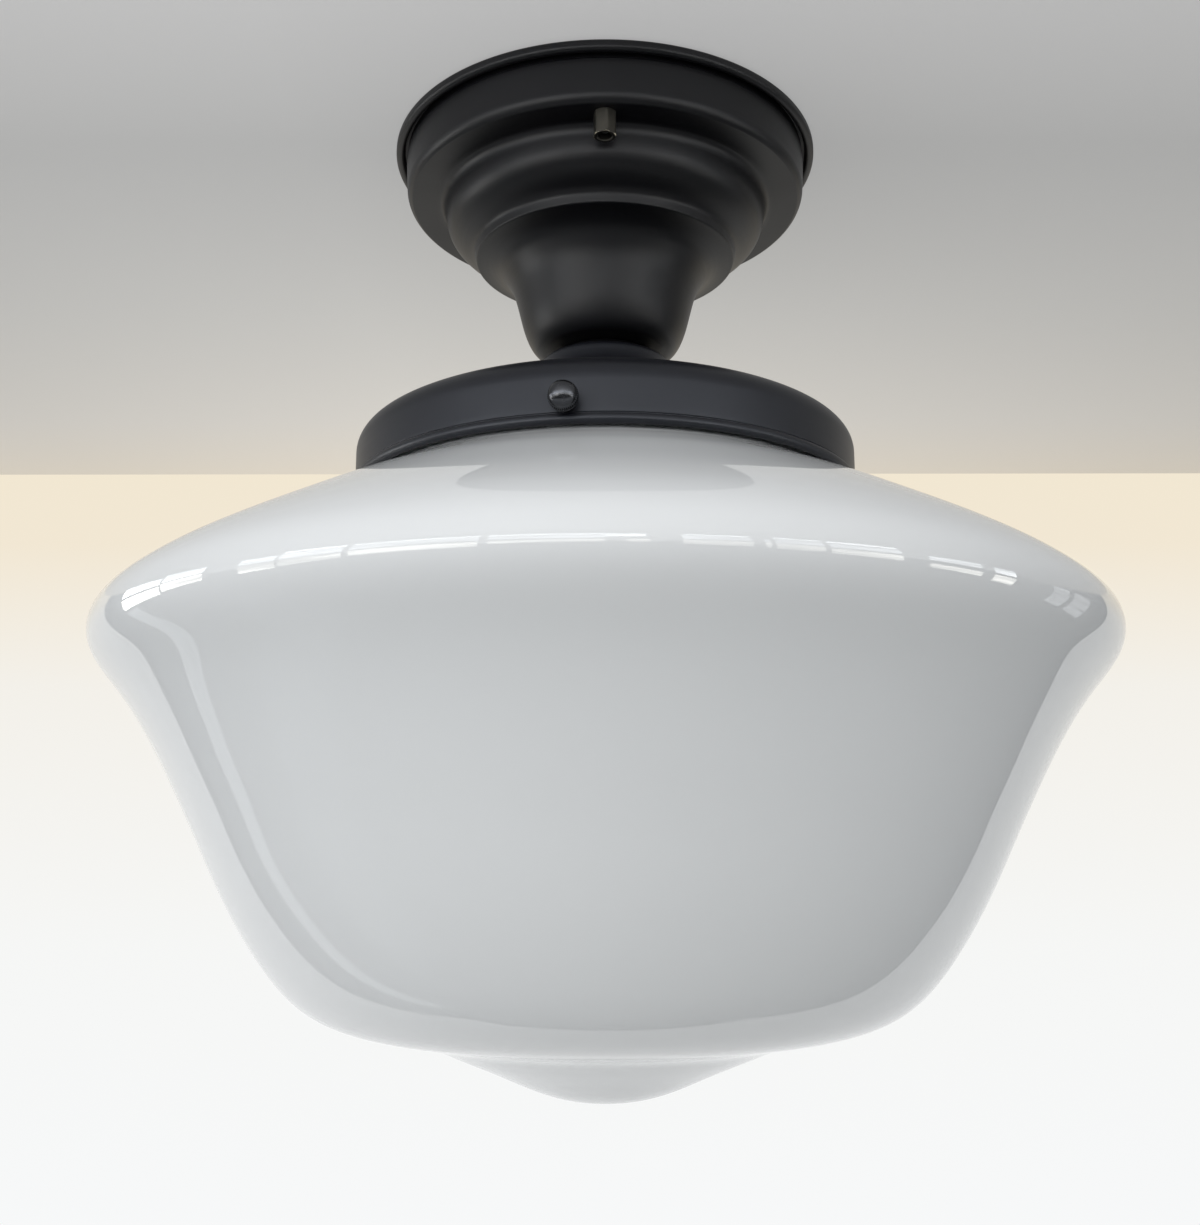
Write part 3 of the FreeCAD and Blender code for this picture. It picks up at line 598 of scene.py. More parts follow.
# =====================================================================================================
# shade holder
# =====================================================================================================
SKIRT = 78.6
h_out = join(
    [(5.3, -71.2), (12.0, -71.2), (18.3, -71.2)], arc_pts((18.3, -71.2), (20.1, -71.9), (20.9, -73.6), 8),
    fair(smooth_pts([(20.9, -73.6), (21.7, -76.6), (24.0, -80.6), (29.0, -84.8), (37.5, -88.4), (48.5, -91.4),
                     (59.0, -94.0), (67.0, -96.2), (72.6, -98.3), (76.6, -101.0), (78.3, -103.8), (SKIRT, -106.5)],
                    (0.15, -1), (0, -1)), 0.5, 1.2),
    resample([(SKIRT, -106.5), (SKIRT, -115.55)], 1.5),
    [(78.42, -115.8), (78.42, -116.05)], arc_pts((78.42, -116.05), (79.35, -116.42), (79.75, -117.45), 7),
    arc_pts((79.75, -117.45), (79.35, -118.55), (78.4, -119.0), 7))
h_in = join(
    [(77.9, -119.0), (77.6, -118.6), (77.6, -112.0), (77.6, -106.5)],
    smooth_pts([(77.6, -106.5), (77.35, -104.1), (75.85, -101.7), (72.1, -99.2), (66.6, -97.15), (58.7, -94.95),
                (48.2, -92.35), (37.1, -89.3), (28.45, -85.6), (23.2, -81.2), (20.75, -76.9), (19.9, -73.8)],
               (0, 1), (-0.15, 1), 1.0),
    arc_pts((19.9, -73.8), (19.3, -72.6), (18.1, -72.2), 5), [(12.0, -72.2), (5.3, -72.2)])
holder = lathe("shade_holder_visual", soften(join(h_out, h_in), 0.15), [M_HOLDER_PAINTED_LIGHTER], 320)
SCREW_AZ = (-7.5, 112.5, 232.5)
SCREW_Z = -113.0


def screw_dir(az):
    a = math.radians(az)
    return Vector((math.sin(a), -math.cos(a), 0))


cutters = []
for az in SCREW_AZ:
    d = screw_dir(az)
    c = Vector((0, 0, SCREW_Z * MM))
    cutters.append(round_cutter(2.15, c + d * 0.0768, c + d * 0.0793))
cut_holes(holder, cutters)
put(holder, "canopy", "dark_bronze_metal", "shade_holder")


def out_of_axis(az):
    # local +Z runs out from the fixture's axis along the screw
    d = screw_dir(az)
    side = Vector((0, 0, 1)).cross(d)
    up = Vector((0, 0, 1))
    c = Vector((0, 0, SCREW_Z * MM))
    return lambda v: c + (d * v.z + side * v.x + up * v.y) * MM


# collars on the skirt, one object of three
bm = bmesh.new()
for az in SCREW_AZ:
    pr = soften([(2.15, 78.72), (2.9, 78.72), (2.9, 80.75), (2.65, 81.0), (2.15, 81.0)], 0.12)
    lathe_bm(bm, pr, 64, True, out_of_axis(az))
boss = finish_mesh("thumbscrew_bosses_visual", bm, 32, [M_BRONZE])
put(boss, "canopy", "screw_black", "thumbscrew_bosses")

# thumb screws: threaded shank, head with a domed face and a fine straight knurl on a narrow band
TEETH = 44


def knurled_head(name, place, mats):
    bm = bmesh.new()
    n = TEETH * 6
    prof = []      # (r, z, tooth depth)
    prof += [(0.0, 81.6, 0)]
    prof += [(2.9, 81.6, 0), (3.15, 81.66, 0), (3.2, 81.8, 0), (3.2, 82.32, 0)]
    prof += [(3.55, 82.40, 0), (3.86, 82.46, 0.0), (3.98, 82.52, 0.03), (4.02, 82.66, 0.06), (3.94, 82.80, 0.06)]
    prof += [(3.90, 82.92, 0.06), (4.02, 83.02, 0.20), (4.08, 83.12, 0.27), (4.10, 83.5, 0.29), (4.10, 84.0, 0.29),
             (4.08, 84.42, 0.28), (3.98, 84.62, 0.20), (3.86, 84.74, 0.08), (3.78, 84.84, 0.0), (3.74, 84.96, 0.0)]
    for k in range(1, 19):
        t = math.radians(90 * k / 18)
        prof.append((3.74 * math.cos(t) if k < 18 else 0.0, 84.96 + 3.07 * math.sin(t), 0))
    rings = []
    for (r, z, dep) in prof:
        if r < 1e-5:
            rings.append([bm.verts.new(place(Vector((0, 0, z))))])
            continue
        row = []
        for k in range(n):
            a = TAU * k / n
            ph = (k % 6) / 6.0
            tooth = abs(2 * ph - 1)            # 1 at the root, 0 at the crest
            tooth = min(1.0, max(0.0, (tooth - 0.18) / 0.82))
            rr = r - dep * tooth
            row.append(bm.verts.new(place(Vector((rr * math.cos(a), rr * math.sin(a), z)))))
        rings.append(row)
    for i in range(len(rings) - 1):
        a, b = rings[i], rings[i + 1]
        for k in range(n):
            k2 = (k + 1) % n
            if len(a) == 1:
                bm.faces.new((a[0], b[k2], b[k]))
            elif len(b) == 1:
                bm.faces.new((a[k], a[k2], b[0]))
            else:
                bm.faces.new((a[k], a[k2], b[k2], b[k]))
    return finish_mesh(name, bm, 38, mats)


for i, az in enumerate(SCREW_AZ):
    pl = out_of_axis(az)
    sh = thread_rod("thumbscrew_shank_%d_visual" % (i + 1), [M_SCREW], pl, 72.3, 81.56, 1.62, 2.07, 0.794, 48, 10, 1.4, 0.0)
    put(sh, "thumbscrew_%d" % (i + 1), "screw_black", "thumbscrew_shank_%d" % (i + 1))
    hd = knurled_head("thumbscrew_head_%d_visual" % (i + 1), pl, [M_SCREW])
    put(hd, "thumbscrew_%d_head" % (i + 1), "screw_black", "thumbscrew_head_%d" % (i + 1))

# =====================================================================================================
# canopy nuts, studs, nipple
# =====================================================================================================
NUT_TURN = 10.0
NUT_AF = 6.2


def hex_nut(name, cx, cy, z0, z1, af, bore, turn, mats, ch=0.55, ed=0.16, edge_mat=1):
    # hex nut with turned chamfers at both ends and slightly worn edges, z0 < z1
    bm = bmesh.new()
    n = 96
    ra = af / 2
    rc = ra / math.cos(math.pi / 6)

    def hexr(a):
        b = (a - math.radians(turn) - math.pi / 6 + TAU) % (math.pi / 3) - math.pi / 6
        b = abs(b)
        r = ra / math.cos(b)
        return min(r, rc - ed)

    def cone(z):
        # turned chamfer, 30 degrees, at both ends
        d = min(z - z0, z1 - z)
        return ra - 0.10 + d / math.tan(math.radians(30))

    zs = sorted(set([z0, z0 + 0.03] + [z0 + 0.06 + k * ch * 1.3 / 10 for k in range(11)] + [(z0 + z1) / 2]
                    + [z1 - 0.06 - k * ch * 1.3 / 10 for k in range(11)] + [z1 - 0.03, z1]))
    rings = []
    for z in zs:
        row = []
        for k in range(n):
            a = TAU * (k + 0.5) / n
            r = min(hexr(a), cone(z))
            if z in (z0, z1):
                r = min(r, ra - 0.12)
            row.append(bm.verts.new(Vector((cx + r * math.cos(a), cy + r * math.sin(a), z)) * MM))
        rings.append((z, row))
    inner = []
    for z in (z0, z0 + 0.25, z1 - 0.25, z1):
        rr = bore + (0.25 if z in (z0, z1) else 0.0)
        inner.append([bm.verts.new(Vector((cx + rr * math.cos(TAU * (k + 0.5) / n), cy + rr * math.sin(TAU * (k + 0.5) / n), z)) * MM) for k in range(n)])
    loops = [inner[1], inner[0]] + [r for _, r in rings] + [inner[3], inner[2]]
    zl = [z0 + 0.25, z0] + zs + [z1, z1 - 0.25]
    m = len(loops)
    for i in range(m):
        a, b = loops[i], loops[(i + 1) % m]
        for k in range(n):
            k2 = (k + 1) % n
            f = bm.faces.new((a[k], a[k2], b[k2], b[k]))
            # worn metal where the chamfer of the lower end cuts the corners
            zm = (zl[i] + zl[(i + 1) % m]) / 2
            ang = TAU * (k + 1.0) / n
            if 2 <= i < m - 3 and zm < z0 + ch * 1.3 and hexr(ang) > cone(zm) + 0.01 and zm > z0 + 0.05:
                f.material_index = edge_mat
    return finish_mesh(name, bm, 24, mats)


for nm, s, body in (("canopy_nut_front", -1, "front_nut"), ("canopy_nut_back", 1, "back_nut")):
    nut = hex_nut(nm + "_visual", 0, s * STUD, -24.9, -17.3, NUT_AF, 2.13, NUT_TURN, [M_NUT, M_EDGE])
    put(nut, body, "nut_bronze", nm)

bm = None
studs = []
for s in (-1, 1):
    off = Vector((0, s * STUD, 0))
    studs.append(thread_rod("canopy_stud_part_%d" % s, [M_ZINC], (lambda v, off=off: (v + off) * MM), -23.0, -0.2, 1.62, 2.08, 0.794,
                            40, 8, 0.8, 0.5))
# two studs, one object
bm = bmesh.new()
for o in studs:
    bm.from_mesh(o.data)
    me = o.data
    bpy.data.objects.remove(o)
    bpy.data.meshes.remove(me)
st = finish_mesh("canopy_studs_visual", bm, 40, [M_ZINC])
put(st, "ceiling_bar", "zinc_steel", "canopy_studs")
nip = thread_rod("nipple_visual", [M_ZINC], (lambda v: v * MM), -83.5, -56.6, 4.6, 5.1, 0.94, 72, 8, 0.6, 0.6, bore=3.5)
put(nip, "canopy", "zinc_steel", "nipple")

# =====================================================================================================
# glass shade
# =====================================================================================================
NECK = 72.0
G_OUT = [(NECK, -108.0), (NECK, -112.5), (72.35, -115.4), (73.7, -117.8), (76.4, -119.6), (80.8, -121.5),
         (88.0, -124.9), (95.6, -128.5), (103.0, -132.3), (110.4, -136.2), (117.8, -140.1), (125.0, -144.0),
         (132.0, -148.0), (138.6, -152.1), (144.4, -156.4), (148.9, -160.4), (151.6, -164.4), (152.4, -168.4),
         (151.4, -172.6), (149.0, -176.6), (145.7, -180.6), (142.4, -184.6), (139.3, -188.8), (136.4, -193.2),
         (133.5, -198.0), (130.7, -203.0), (127.9, -208.4), (125.2, -213.8), (122.5, -219.2), (119.7, -225.0),
         (116.9, -231.0), (114.0, -237.0), (110.9, -243.0), (107.5, -249.0), (103.9, -254.8), (99.9, -260.6),
         (95.4, -266.2), (90.0, -271.4), (83.4, -275.6), (75.6, -278.5), (67.0, -280.3), (58.5, -281.7),
         (52.0, -283.4), (46.4, -285.7), (41.0, -288.0), (35.6, -290.1), (29.8, -292.6), (23.6, -295.3),
         (16.4, -297.9), (8.6, -299.5), (0.0, -300.0)]
raw = smooth_pts(G_OUT, (0, -1), (-1, 0), 0.4)
body = fair(raw, 0.5, 2.4, 2)
WALL = 4.0
inner = []
for i in range(0, len(body), 3):
    a = body[max(0, i - 1)]
    b = body[min(len(body) - 1, i + 1)]
    t = unit((b[0] - a[0], b[1] - a[1]))
    q = (body[i][0] + t[1] * WALL, body[i][1] - t[0] * WALL)
    inner.append((max(q[0], 0.0), q[1]))
inner[0] = (NECK - WALL, -108.0)
if inner[-1][0] > 0.8:
    inner.append((0.0, inner[-1][1]))
else:
    inner[-1] = (0.0, inner[-1][1])
body[-1] = (0.0, body[-1][1])
lip = join([(NECK - WALL, -106.0), (NECK - WALL, -104.0)], arc_pts((NECK - WALL, -104.0), (68.15, -102.8), (68.6, -101.8), 6),
           arc_pts((68.6, -101.8), (70.6, -100.9), (73.4, -101.4), 8), arc_pts((73.4, -101.4), (74.5, -102.7), (73.3, -103.9), 8),
           arc_pts((73.3, -103.9), (72.4, -104.2), (NECK, -105.0), 6), [(NECK, -106.5)])
gp = join(body, list(reversed(inner)), lip)
# the line starts and ends on the axis between body and inner, so it is one closed loop
shade = lathe("glass_shade_visual", gp, [M_OPAL], 384, 40)
put(shade, "shade", "opal_glass", "glass_shade")

# =====================================================================================================
# bulb
# =====================================================================================================
bo = smooth_pts([(12.2, -101.6), (12.2, -112.0), (12.2, -118.0), (12.2, -121.6), (13.1, -126.0), (16.4, -132.5),
                 (20.5, -140.5), (25.6, -150.5), (29.2, -161.5), (30.0, -172.0), (27.9, -183.6), (22.3, -193.6),
                 (13.5, -200.4), (0, -203.2)], (0, -1), (-1, 0), 1.2)
bi = smooth_pts([(0, -202.4), (13.0, -199.7), (21.6, -193.0), (27.1, -183.2), (29.2, -172.0), (28.4, -161.8),
                 (24.9, -150.9), (19.8, -140.9), (15.6, -132.9), (12.3, -126.3), (11.4, -121.7), (11.4, -112.0),
                 (11.4, -101.6)], (1, 0), (0, 1), 1.6)
put(lathe("bulb_glass_visual", join(bo, bi), [M_FROST], 128), "bulb", "bulb_frost", "bulb_glass")

# =====================================================================================================
# stage: ceiling, wall, floor, window panes
# =====================================================================================================


def one_sided(name, shader_fn):
    m = bpy.data.materials.new(name)
    m.use_nodes = True
    nt = m.node_tree
    for n in list(nt.nodes):
        nt.nodes.remove(n)
    out = nt.nodes.new("ShaderNodeOutputMaterial")
    geo = nt.nodes.new("ShaderNodeNewGeometry")
    tr = nt.nodes.new("ShaderNodeBsdfTransparent")
    mx = nt.nodes.new("ShaderNodeMixShader")
    sh = shader_fn(nt)
    nt.links.new(geo.outputs["Backfacing"], mx.inputs[0])
    nt.links.new(sh, mx.inputs[1])
    nt.links.new(tr.outputs[0], mx.inputs[2])
    nt.links.new(mx.outputs[0], out.inputs[0])
    return m


def gradient_emit(nt, axis, stops, lo, hi, strength=1.0, diffuse=None, painted_light_across=None):
    # a surface that glows by its height or depth, in object space; on the ceiling this glow is painted light, on the
    # wall and the room a plain backdrop
    tc = nt.nodes.new("ShaderNodeTexCoord")
    sep = nt.nodes.new("ShaderNodeSeparateXYZ")
    nt.links.new(tc.outputs["Object"], sep.inputs[0])
    mr = nt.nodes.new("ShaderNodeMapRange")
    mr.inputs[1].default_value = lo
    mr.inputs[2].default_value = hi
    nt.links.new(sep.outputs["XYZ".index(axis)], mr.inputs[0])
    cr = nt.nodes.new("ShaderNodeValToRGB")
    while len(cr.color_ramp.elements) > 1:
        cr.color_ramp.elements.remove(cr.color_ramp.elements[0])
    cr.color_ramp.elements[0].position = stops[0][0]
    cr.color_ramp.elements[0].color = col(stops[0][1])
    for p, c in stops[1:]:
        e = cr.color_ramp.elements.new(p)
        e.color = col(c)
    nt.links.new(mr.outputs[0], cr.inputs[0])
    em = nt.nodes.new("ShaderNodeEmission")
    em.inputs[1].default_value = strength
    nt.links.new(cr.outputs[0], em.inputs[0])
    if painted_light_across:
        # (x, factor) pairs: painted light, the same surface a little brighter round the fixture and more to its left
        # than its right
        m2 = nt.nodes.new("ShaderNodeMapRange")
        m2.inputs[1].default_value = painted_light_across[0][0]
        m2.inputs[2].default_value = painted_light_across[-1][0]
        nt.links.new(sep.outputs[0], m2.inputs[0])
        r2 = nt.nodes.new("ShaderNodeValToRGB")
        while len(r2.color_ramp.elements) > 1:
            r2.color_ramp.elements.remove(r2.color_ramp.elements[0])
        span = painted_light_across[-1][0] - painted_light_across[0][0]
        top = max(v for _, v in painted_light_across)
        r2.color_ramp.elements[0].position = 0.0
        r2.color_ramp.elements[0].color = col((painted_light_across[0][1] / top,) * 3)
        for x, v in painted_light_across[1:]:
            e = r2.color_ramp.elements.new((x - painted_light_across[0][0]) / span)
            e.color = col((v / top,) * 3)
        nt.links.new(m2.outputs[0], r2.inputs[0])
        ml = nt.nodes.new("ShaderNodeMath")
        ml.operation = "MULTIPLY"
        ml.inputs[1].default_value = strength * top
        nt.links.new(r2.outputs[0], ml.inputs[0])
        nt.links.new(ml.outputs[0], em.inputs[1])
    if diffuse is None:
        return em.outputs[0]
    df = nt.nodes.new("ShaderNodeBsdfDiffuse")
    df.inputs[0].default_value = col(diffuse)
    ad = nt.nodes.new("ShaderNodeAddShader")
    nt.links.new(em.outputs[0], ad.inputs[0])
    nt.links.new(df.outputs[0], ad.inputs[1])
    return ad.outputs[0]


def quad(name, pts, mat):
    me = bpy.data.meshes.new(name)
    me.from_pydata(pts, [], [tuple(range(len(pts)))])
    ob = bpy.data.objects.new(name, me)
    bpy.context.scene.collection.objects.link(ob)
    me.materials.append(mat)
    return ob


WALL_Y = 0.355
WALL_W = 0.67
CEIL_Z = 0.0006
FLOOR_Z = -1.75

# ceiling with a round opening over the box, facing down
HOLE = 0.061
me = bpy.data.meshes.new("stage_ceiling")
inner_ring, outer_ring = [], []
N = 96
x0, x1, y0, y1 = -3.2, 3.2, -3.4, WALL_Y
for k in range(N):
    a = TAU * k / N
    ca, sa = math.cos(a), math.sin(a)
    inner_ring.append((HOLE * ca, HOLE * sa, CEIL_Z))
    t = min((x1 / ca) if ca > 1e-9 else 1e9, (x0 / ca) if ca < -1e-9 else 1e9, (y1 / sa) if sa > 1e-9 else 1e9,
            (y0 / sa) if sa < -1e-9 else 1e9)
    outer_ring.append((t * ca, t * sa, CEIL_Z))
faces = []
for k in range(N):
    k2 = (k + 1) % N
    faces.append((k, k2, N + k2, N + k))
me.from_pydata(inner_ring + outer_ring, [], faces)
me.update()
ceil = bpy.data.objects.new("stage_ceiling", me)
bpy.context.scene.collection.objects.link(ceil)
if me.polygons[0].normal.z > 0:
    bmt = bmesh.new()
    bmt.from_mesh(me)
    bmesh.ops.reverse_faces(bmt, faces=bmt.faces)
    bmt.to_mesh(me)
    bmt.free()
# the ceiling's glow is painted light: dim and warmer towards the wall where it is seen, darkest over the fixture,
# bright far in front where it lights the shade from above, and brighter round the fixture
me.materials.append(one_sided("stage_ceiling_painted_light", lambda nt: gradient_emit(
    nt, "Y", [(0.0, (0.66, 0.66, 0.66)), (0.50, (0.61, 0.61, 0.61)), (0.70, (0.50, 0.50, 0.50)), (0.80, (0.16, 0.16, 0.161)),
              (0.845, (0.1175, 0.118, 0.1175)), (0.90, (0.149, 0.147, 0.141)), (0.96, (0.188, 0.180, 0.166)), (1.0, (0.218, 0.199, 0.169))],
    -2.0, WALL_Y, 2.0, (0.22, 0.217, 0.212),
    [(-0.6, 1.08), (-0.30, 1.19), (-0.10, 1.40), (0.10, 1.28), (0.32, 1.09), (0.6, 0.96)])))

# back wall, facing the room
quad("stage_wall", [(-WALL_W, WALL_Y, FLOOR_Z), (WALL_W, WALL_Y, FLOOR_Z), (WALL_W, WALL_Y, CEIL_Z), (-WALL_W, WALL_Y, CEIL_Z)],
     one_sided("stage_wall_paint", lambda nt: gradient_emit(
         nt, "Z", [(0.0, (0.93, 0.94, 0.945)), (0.35, (0.92, 0.925, 0.915)), (0.7, (0.90, 0.875, 0.82)), (0.90, (0.885, 0.80, 0.655)),
                   (1.0, (0.885, 0.80, 0.645))], -0.42, 0.0, 1.0)))


# the rest of the room, pale and plain, only seen when the light is looked at from other sides
def backdrop(name, pts):
    ob = quad(name, pts, one_sided(name + "_paint", lambda nt: gradient_emit(
        nt, "Z", [(0.0, (0.62, 0.625, 0.63)), (0.5, (0.74, 0.745, 0.75)), (1.0, (0.80, 0.805, 0.81))], FLOOR_Z, 2.2, 1.0)))
    ob.visible_diffuse = False
    ob.visible_glossy = False
    ob.visible_shadow = False
    ob.visible_transmission = False
    return ob


ROOM = 4.2
backdrop("stage_room_back", [(-ROOM, WALL_Y + 0.002, FLOOR_Z), (ROOM, WALL_Y + 0.002, FLOOR_Z), (ROOM, WALL_Y + 0.002, 3.0), (-ROOM, WALL_Y + 0.002, 3.0)])
backdrop("stage_room_front", [(ROOM, -ROOM, FLOOR_Z), (-ROOM, -ROOM, FLOOR_Z), (-ROOM, -ROOM, 3.0), (ROOM, -ROOM, 3.0)])
backdrop("stage_room_left", [(-ROOM, -ROOM, FLOOR_Z), (-ROOM, ROOM, FLOOR_Z), (-ROOM, ROOM, 3.0), (-ROOM, -ROOM, 3.0)])
backdrop("stage_room_right", [(ROOM, ROOM, FLOOR_Z), (ROOM, -ROOM, FLOOR_Z), (ROOM, -ROOM, 3.0), (ROOM, ROOM, 3.0)])


def plain(name, c, rough=0.6):
    m = bpy.data.materials.new(name)
    m.use_nodes = True
    nt = m.node_tree
    b = nt.nodes["Principled BSDF"]
    n = nt.nodes.new("ShaderNodeTexNoise")
    n.inputs["Scale"].default_value = 2.0
    mr = nt.nodes.new("ShaderNodeMix")
    mr.data_type = "RGBA"
    mr.inputs[6].default_value = col(c)
    mr.inputs[7].default_value = col(tuple(v * 0.97 for v in c))
    nt.links.new(n.outputs["Fac"], mr.inputs[0])
    nt.links.new(mr.outputs[2], b.inputs["Base Color"])
    b.inputs["Roughness"].default_value = rough
    return m


floor = quad("stage_floor", [(-5, -5, FLOOR_Z), (5, -5, FLOOR_Z), (5, 5, FLOOR_Z), (-5, 5, FLOOR_Z)],
             plain("stage_floor_pale", (0.48, 0.48, 0.47)))
floor.visible_glossy = False


def emit(name, c, s, vary=0.0):
    m = bpy.data.materials.new(name)
    m.use_nodes = True
    nt = m.node_tree
    for n in list(nt.nodes):
        nt.nodes.remove(n)
    out = nt.nodes.new("ShaderNodeOutputMaterial")
    em = nt.nodes.new("ShaderNodeEmission")
    em.inputs[0].default_value = col(c)
    em.inputs[1].default_value = s
    if vary:
        # trees and clouds behind the glass, as plain soft streaks
        tc = nt.nodes.new("ShaderNodeTexCoord")
        mp = nt.nodes.new("ShaderNodeMapping")
        mp.inputs["Scale"].default_value = (1.0, 1.0, 5.0)
        nt.links.new(tc.outputs["Object"], mp.inputs["Vector"])
        nz = nt.nodes.new("ShaderNodeTexNoise")
        nz.inputs["Scale"].default_value = 2.6
        nz.inputs["Detail"].default_value = 5.0
        nz.inputs["Roughness"].default_value = 0.65
        nt.links.new(mp.outputs[0], nz.inputs["Vector"])
        mr = nt.nodes.new("ShaderNodeMapRange")
        mr.inputs[1].default_value = 0.38
        mr.inputs[2].default_value = 0.62
        mr.inputs[3].default_value = s * (1.0 - vary)
        mr.inputs[4].default_value = s * (1.0 + 0.25 * vary)
        nt.links.new(nz.outputs["Fac"], mr.inputs[0])
        nt.links.new(mr.outputs[0], em.inputs[1])
    geo = nt.nodes.new("ShaderNodeNewGeometry")
    tr = nt.nodes.new("ShaderNodeBsdfTransparent")
    mx = nt.nodes.new("ShaderNodeMixShader")
    nt.links.new(geo.outputs["Backfacing"], mx.inputs[0])
    nt.links.new(em.outputs[0], mx.inputs[1])
    nt.links.new(tr.outputs[0], mx.inputs[2])
    nt.links.new(mx.outputs[0], out.inputs[0])
    return m


# window panes on an arc round the front of the light: azimuth from -Y towards +X, elevation in degrees, both as
# seen from the bulge of the shade. They are light cards: only mirror-like surfaces see them.
WIN_R = 0.62
BULGE_R = 0.1515
BULGE_Z = -0.166
FACE = [(0, 0), (12.8, 65), (25.6, 129), (38.2, 190), (50.7, 248), (62.9, 301), (74.8, 349), (86.5, 391), (98, 427), (109, 457), (120, 481)]


def card_point(az, el):
    # the point where a ray that leaves the bulge towards a far pane at this azimuth passes the arc
    t = abs(az)
    for (a, u), (b, v) in zip(FACE, FACE[1:]):
        if t <= b:
            break
    w = u + (v - u) * (t - a) / (b - a)
    n = math.copysign(math.asin(min(0.99, w / 490.0)), az)
    a = math.radians(az)
    px, py = BULGE_R * math.sin(n), -BULGE_R * math.cos(n)
    dx, dy = 2.8 * math.sin(a) - px, -2.8 * math.cos(a) - py
    L = math.hypot(dx, dy)
    dx, dy = dx / L, dy / L
    h = px * dx + py * dy
    k = -h + math.sqrt(h * h - (px * px + py * py) + WIN_R * WIN_R)
    return (px + dx * k, py + dy * k, min(BULGE_Z + k * math.tan(math.radians(el)), -0.002))


def pane(name, az0, az1, el0, el1, mat):
    n = max(1, int((az1 - az0) / 4))
    vs, fs = [], []
    for i in range(n + 1):
        a = az0 + (az1 - az0) * i / n
        vs.append(card_point(a, el0))
        vs.append(card_point(a, el1))
    for i in range(n):
        fs.append((2 * i, 2 * i + 1, 2 * i + 3, 2 * i + 2))
    me = bpy.data.meshes.new(name)
    me.from_pydata(vs, [], fs)
    me.update()
    ob = bpy.data.objects.new(name, me)
    bpy.context.scene.collection.objects.link(ob)
    p = me.polygons[0]
    if p.normal.dot(Vector((0, 0, -0.17)) - p.center) < 0:
        bmt = bmesh.new()
        bmt.from_mesh(me)
        bmesh.ops.reverse_faces(bmt, faces=bmt.faces)
        bmt.to_mesh(me)
        bmt.free()
    me.materials.append(mat)
    ob.visible_diffuse = False
    ob.visible_shadow = False
    ob.visible_camera = False
    return ob


W_HI = emit("stage_window_sky", (0.93, 0.965, 1.0), 7.5, 0.50)
W_TOP = emit("stage_window_top", (0.95, 0.975, 1.0), 10.0, 0.2)
W_LO = emit("stage_window_day", (1.0, 0.98, 0.92), 7.5, 0.60)
# az0, az1, then the lower and the upper light of each window
SEGS = [(-113, -97.5, -7, 3, 5, 13), (-96.8, -83.2, -5, 5, 6.5, 15), (-73.5, -64.6, -8, 3, 5, 14), (-63.8, -49.8, -6, 4, 6, 15),
        (-48.4, -23.2, -4, 6, 8.5, 16), (-21.4, 0.0, 0, 6, 9.5, 15.5), (14.0, 27.0, -3, 6, 9, 16), (29.3, 30.4, -3, 6, 8, 15),
        (31.4, 40.8, -4, 6, 8.5, 16), (41.9, 57.0, -5, 5, 7.5, 15), (63.0, 76.0, -9, -2, 4, 11), (79.3, 85.5, -12, -2, 1, 9)]
for i, (a0, a1, l0, l1, h0, h1) in enumerate(SEGS):
    pane("stage_pane_low_%d" % i, a0, a1, l0, l1, W_LO)
    pane("stage_pane_high_%d" % i, a0, a1, h0, h1, W_HI)
    if abs(a0 + a1) < 125 and a1 - a0 > 5:
        pane("stage_pane_top_%d" % i, a0, a1, h1 + 1.0, h1 + 4.0, W_TOP)
pane("stage_pane_top_mid", 0.0, 7.5, 12, 19, W_TOP)
pane("stage_pane_low_mid", 4.0, 8.2, 0, 6, W_LO)
W_FAR = emit("stage_window_far", (0.93, 0.96, 1.0), 1.3, 0.6)
for i, (a0, a1) in enumerate([(98, 104), (106, 113)]):
    pane("stage_pane_far_%d" % i, a0, a1, -16, 4, W_FAR)
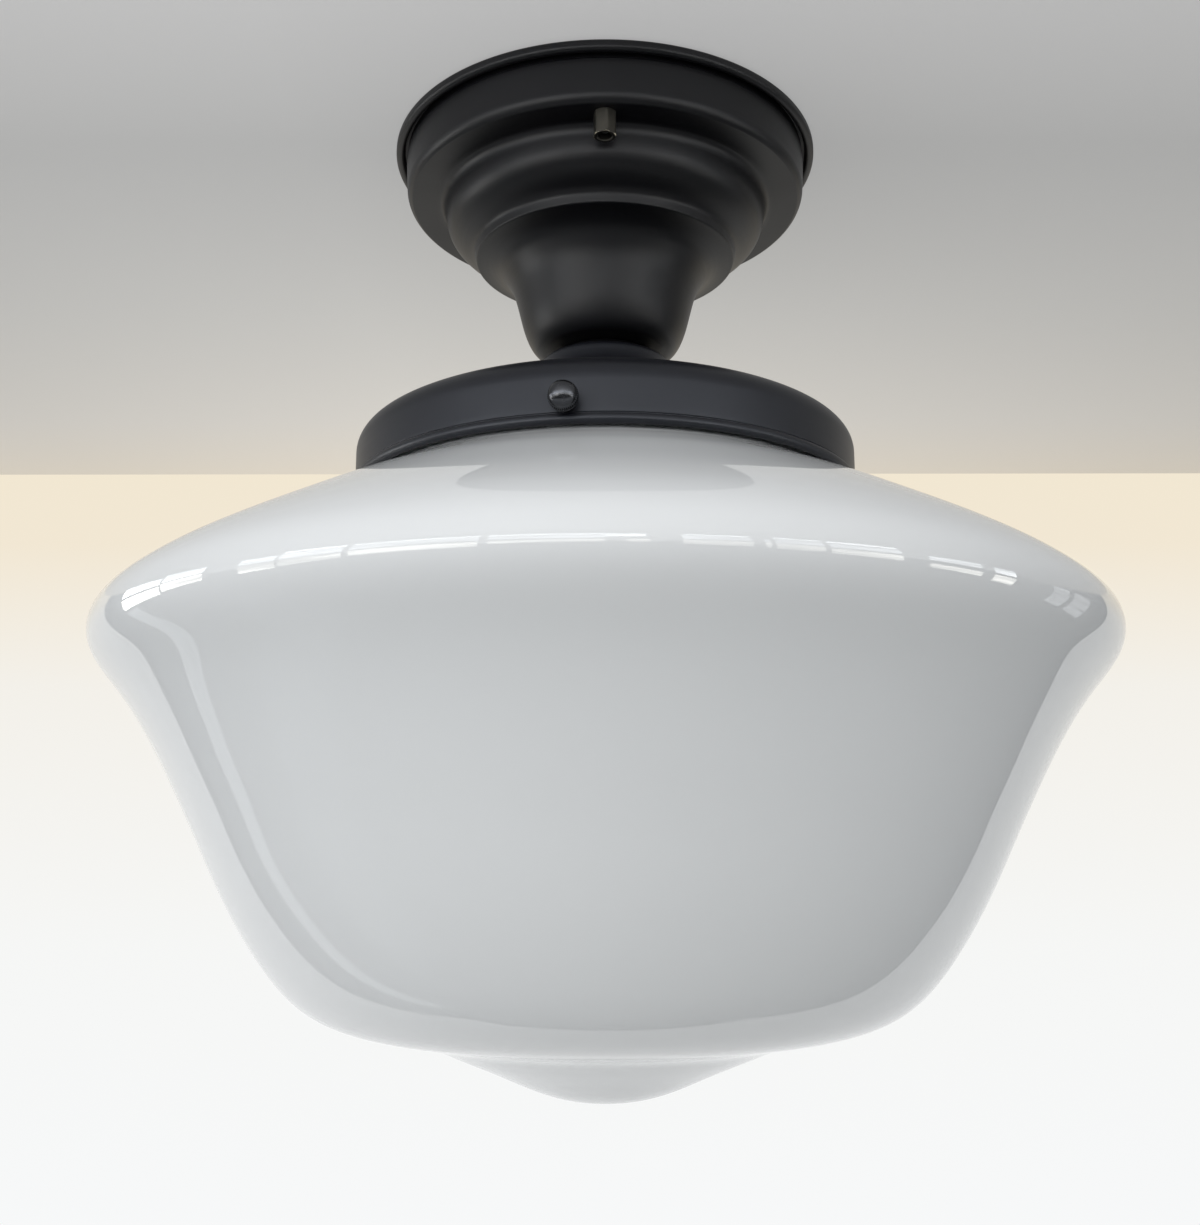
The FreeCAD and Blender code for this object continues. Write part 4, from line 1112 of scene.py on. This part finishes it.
W_STREAK = emit("stage_left_streak", (0.90, 0.96, 1.0), 0.85)
pane("stage_streak_left", -113, -108, -66, -9, W_STREAK)
W_SIDE = emit("stage_left_side", (0.86, 0.93, 1.0), 0.30, 0.3)
pane("stage_side_left", -92, -74, -62, -30, W_SIDE)

# =====================================================================================================
# light and camera
# =====================================================================================================
world = bpy.data.worlds.new("world")
bpy.context.scene.world = world
world.use_nodes = True
bg = world.node_tree.nodes["Background"]
bg.inputs[0].default_value = (0.80, 0.86, 0.93, 1)
bg.inputs[1].default_value = 0.10


def area(name, loc, target, size, power, colour=(1, 1, 1)):
    li = bpy.data.lights.new(name, "AREA")
    li.shape = "RECTANGLE"
    li.size, li.size_y = size
    li.energy = power
    li.color = colour
    ob = bpy.data.objects.new(name, li)
    ob.location = loc
    ob.rotation_euler = (Vector(target) - Vector(loc)).to_track_quat("-Z", "Y").to_euler()
    bpy.context.scene.collection.objects.link(ob)
    ob.visible_glossy = False
    return ob


area("fill_front", (0.0, -2.4, -0.35), (0, 0, -0.18), (3.6, 0.6), 7.5)
area("fill_left", (-2.0, -0.9, -0.35), (0, 0, -0.18), (1.6, 0.6), 12.0, (0.98, 0.99, 1.0))
area("fill_right", (2.0, -0.9, -0.35), (0, 0, -0.18), (1.6, 0.6), 1.2, (1.0, 0.99, 0.97))
area("side_left", (-2.4, 0.6, -0.5), (0, 0, -0.18), (1.2, 0.9), 5.0)
area("fill_back", (0.0, 2.2, -0.8), (0, 0, -0.15), (2.2, 1.5), 9)
area("fill_above", (0.0, 0.0, 1.6), (0, 0, 0), (1.0, 1.0), 5)

cam = bpy.data.cameras.new("camera")
cam.lens = 39.91
cam.sensor_width = 36.0
cam.sensor_fit = "AUTO"
cam.clip_start = 0.01
co = bpy.data.objects.new("camera", cam)
co.location = (0.0, -0.418, -0.2374)
co.rotation_euler = (math.radians(90 + 11.29), 0, 0.0039)
bpy.context.scene.collection.objects.link(co)
bpy.context.scene.camera = co
bpy.context.scene.view_settings.view_transform = "Standard"
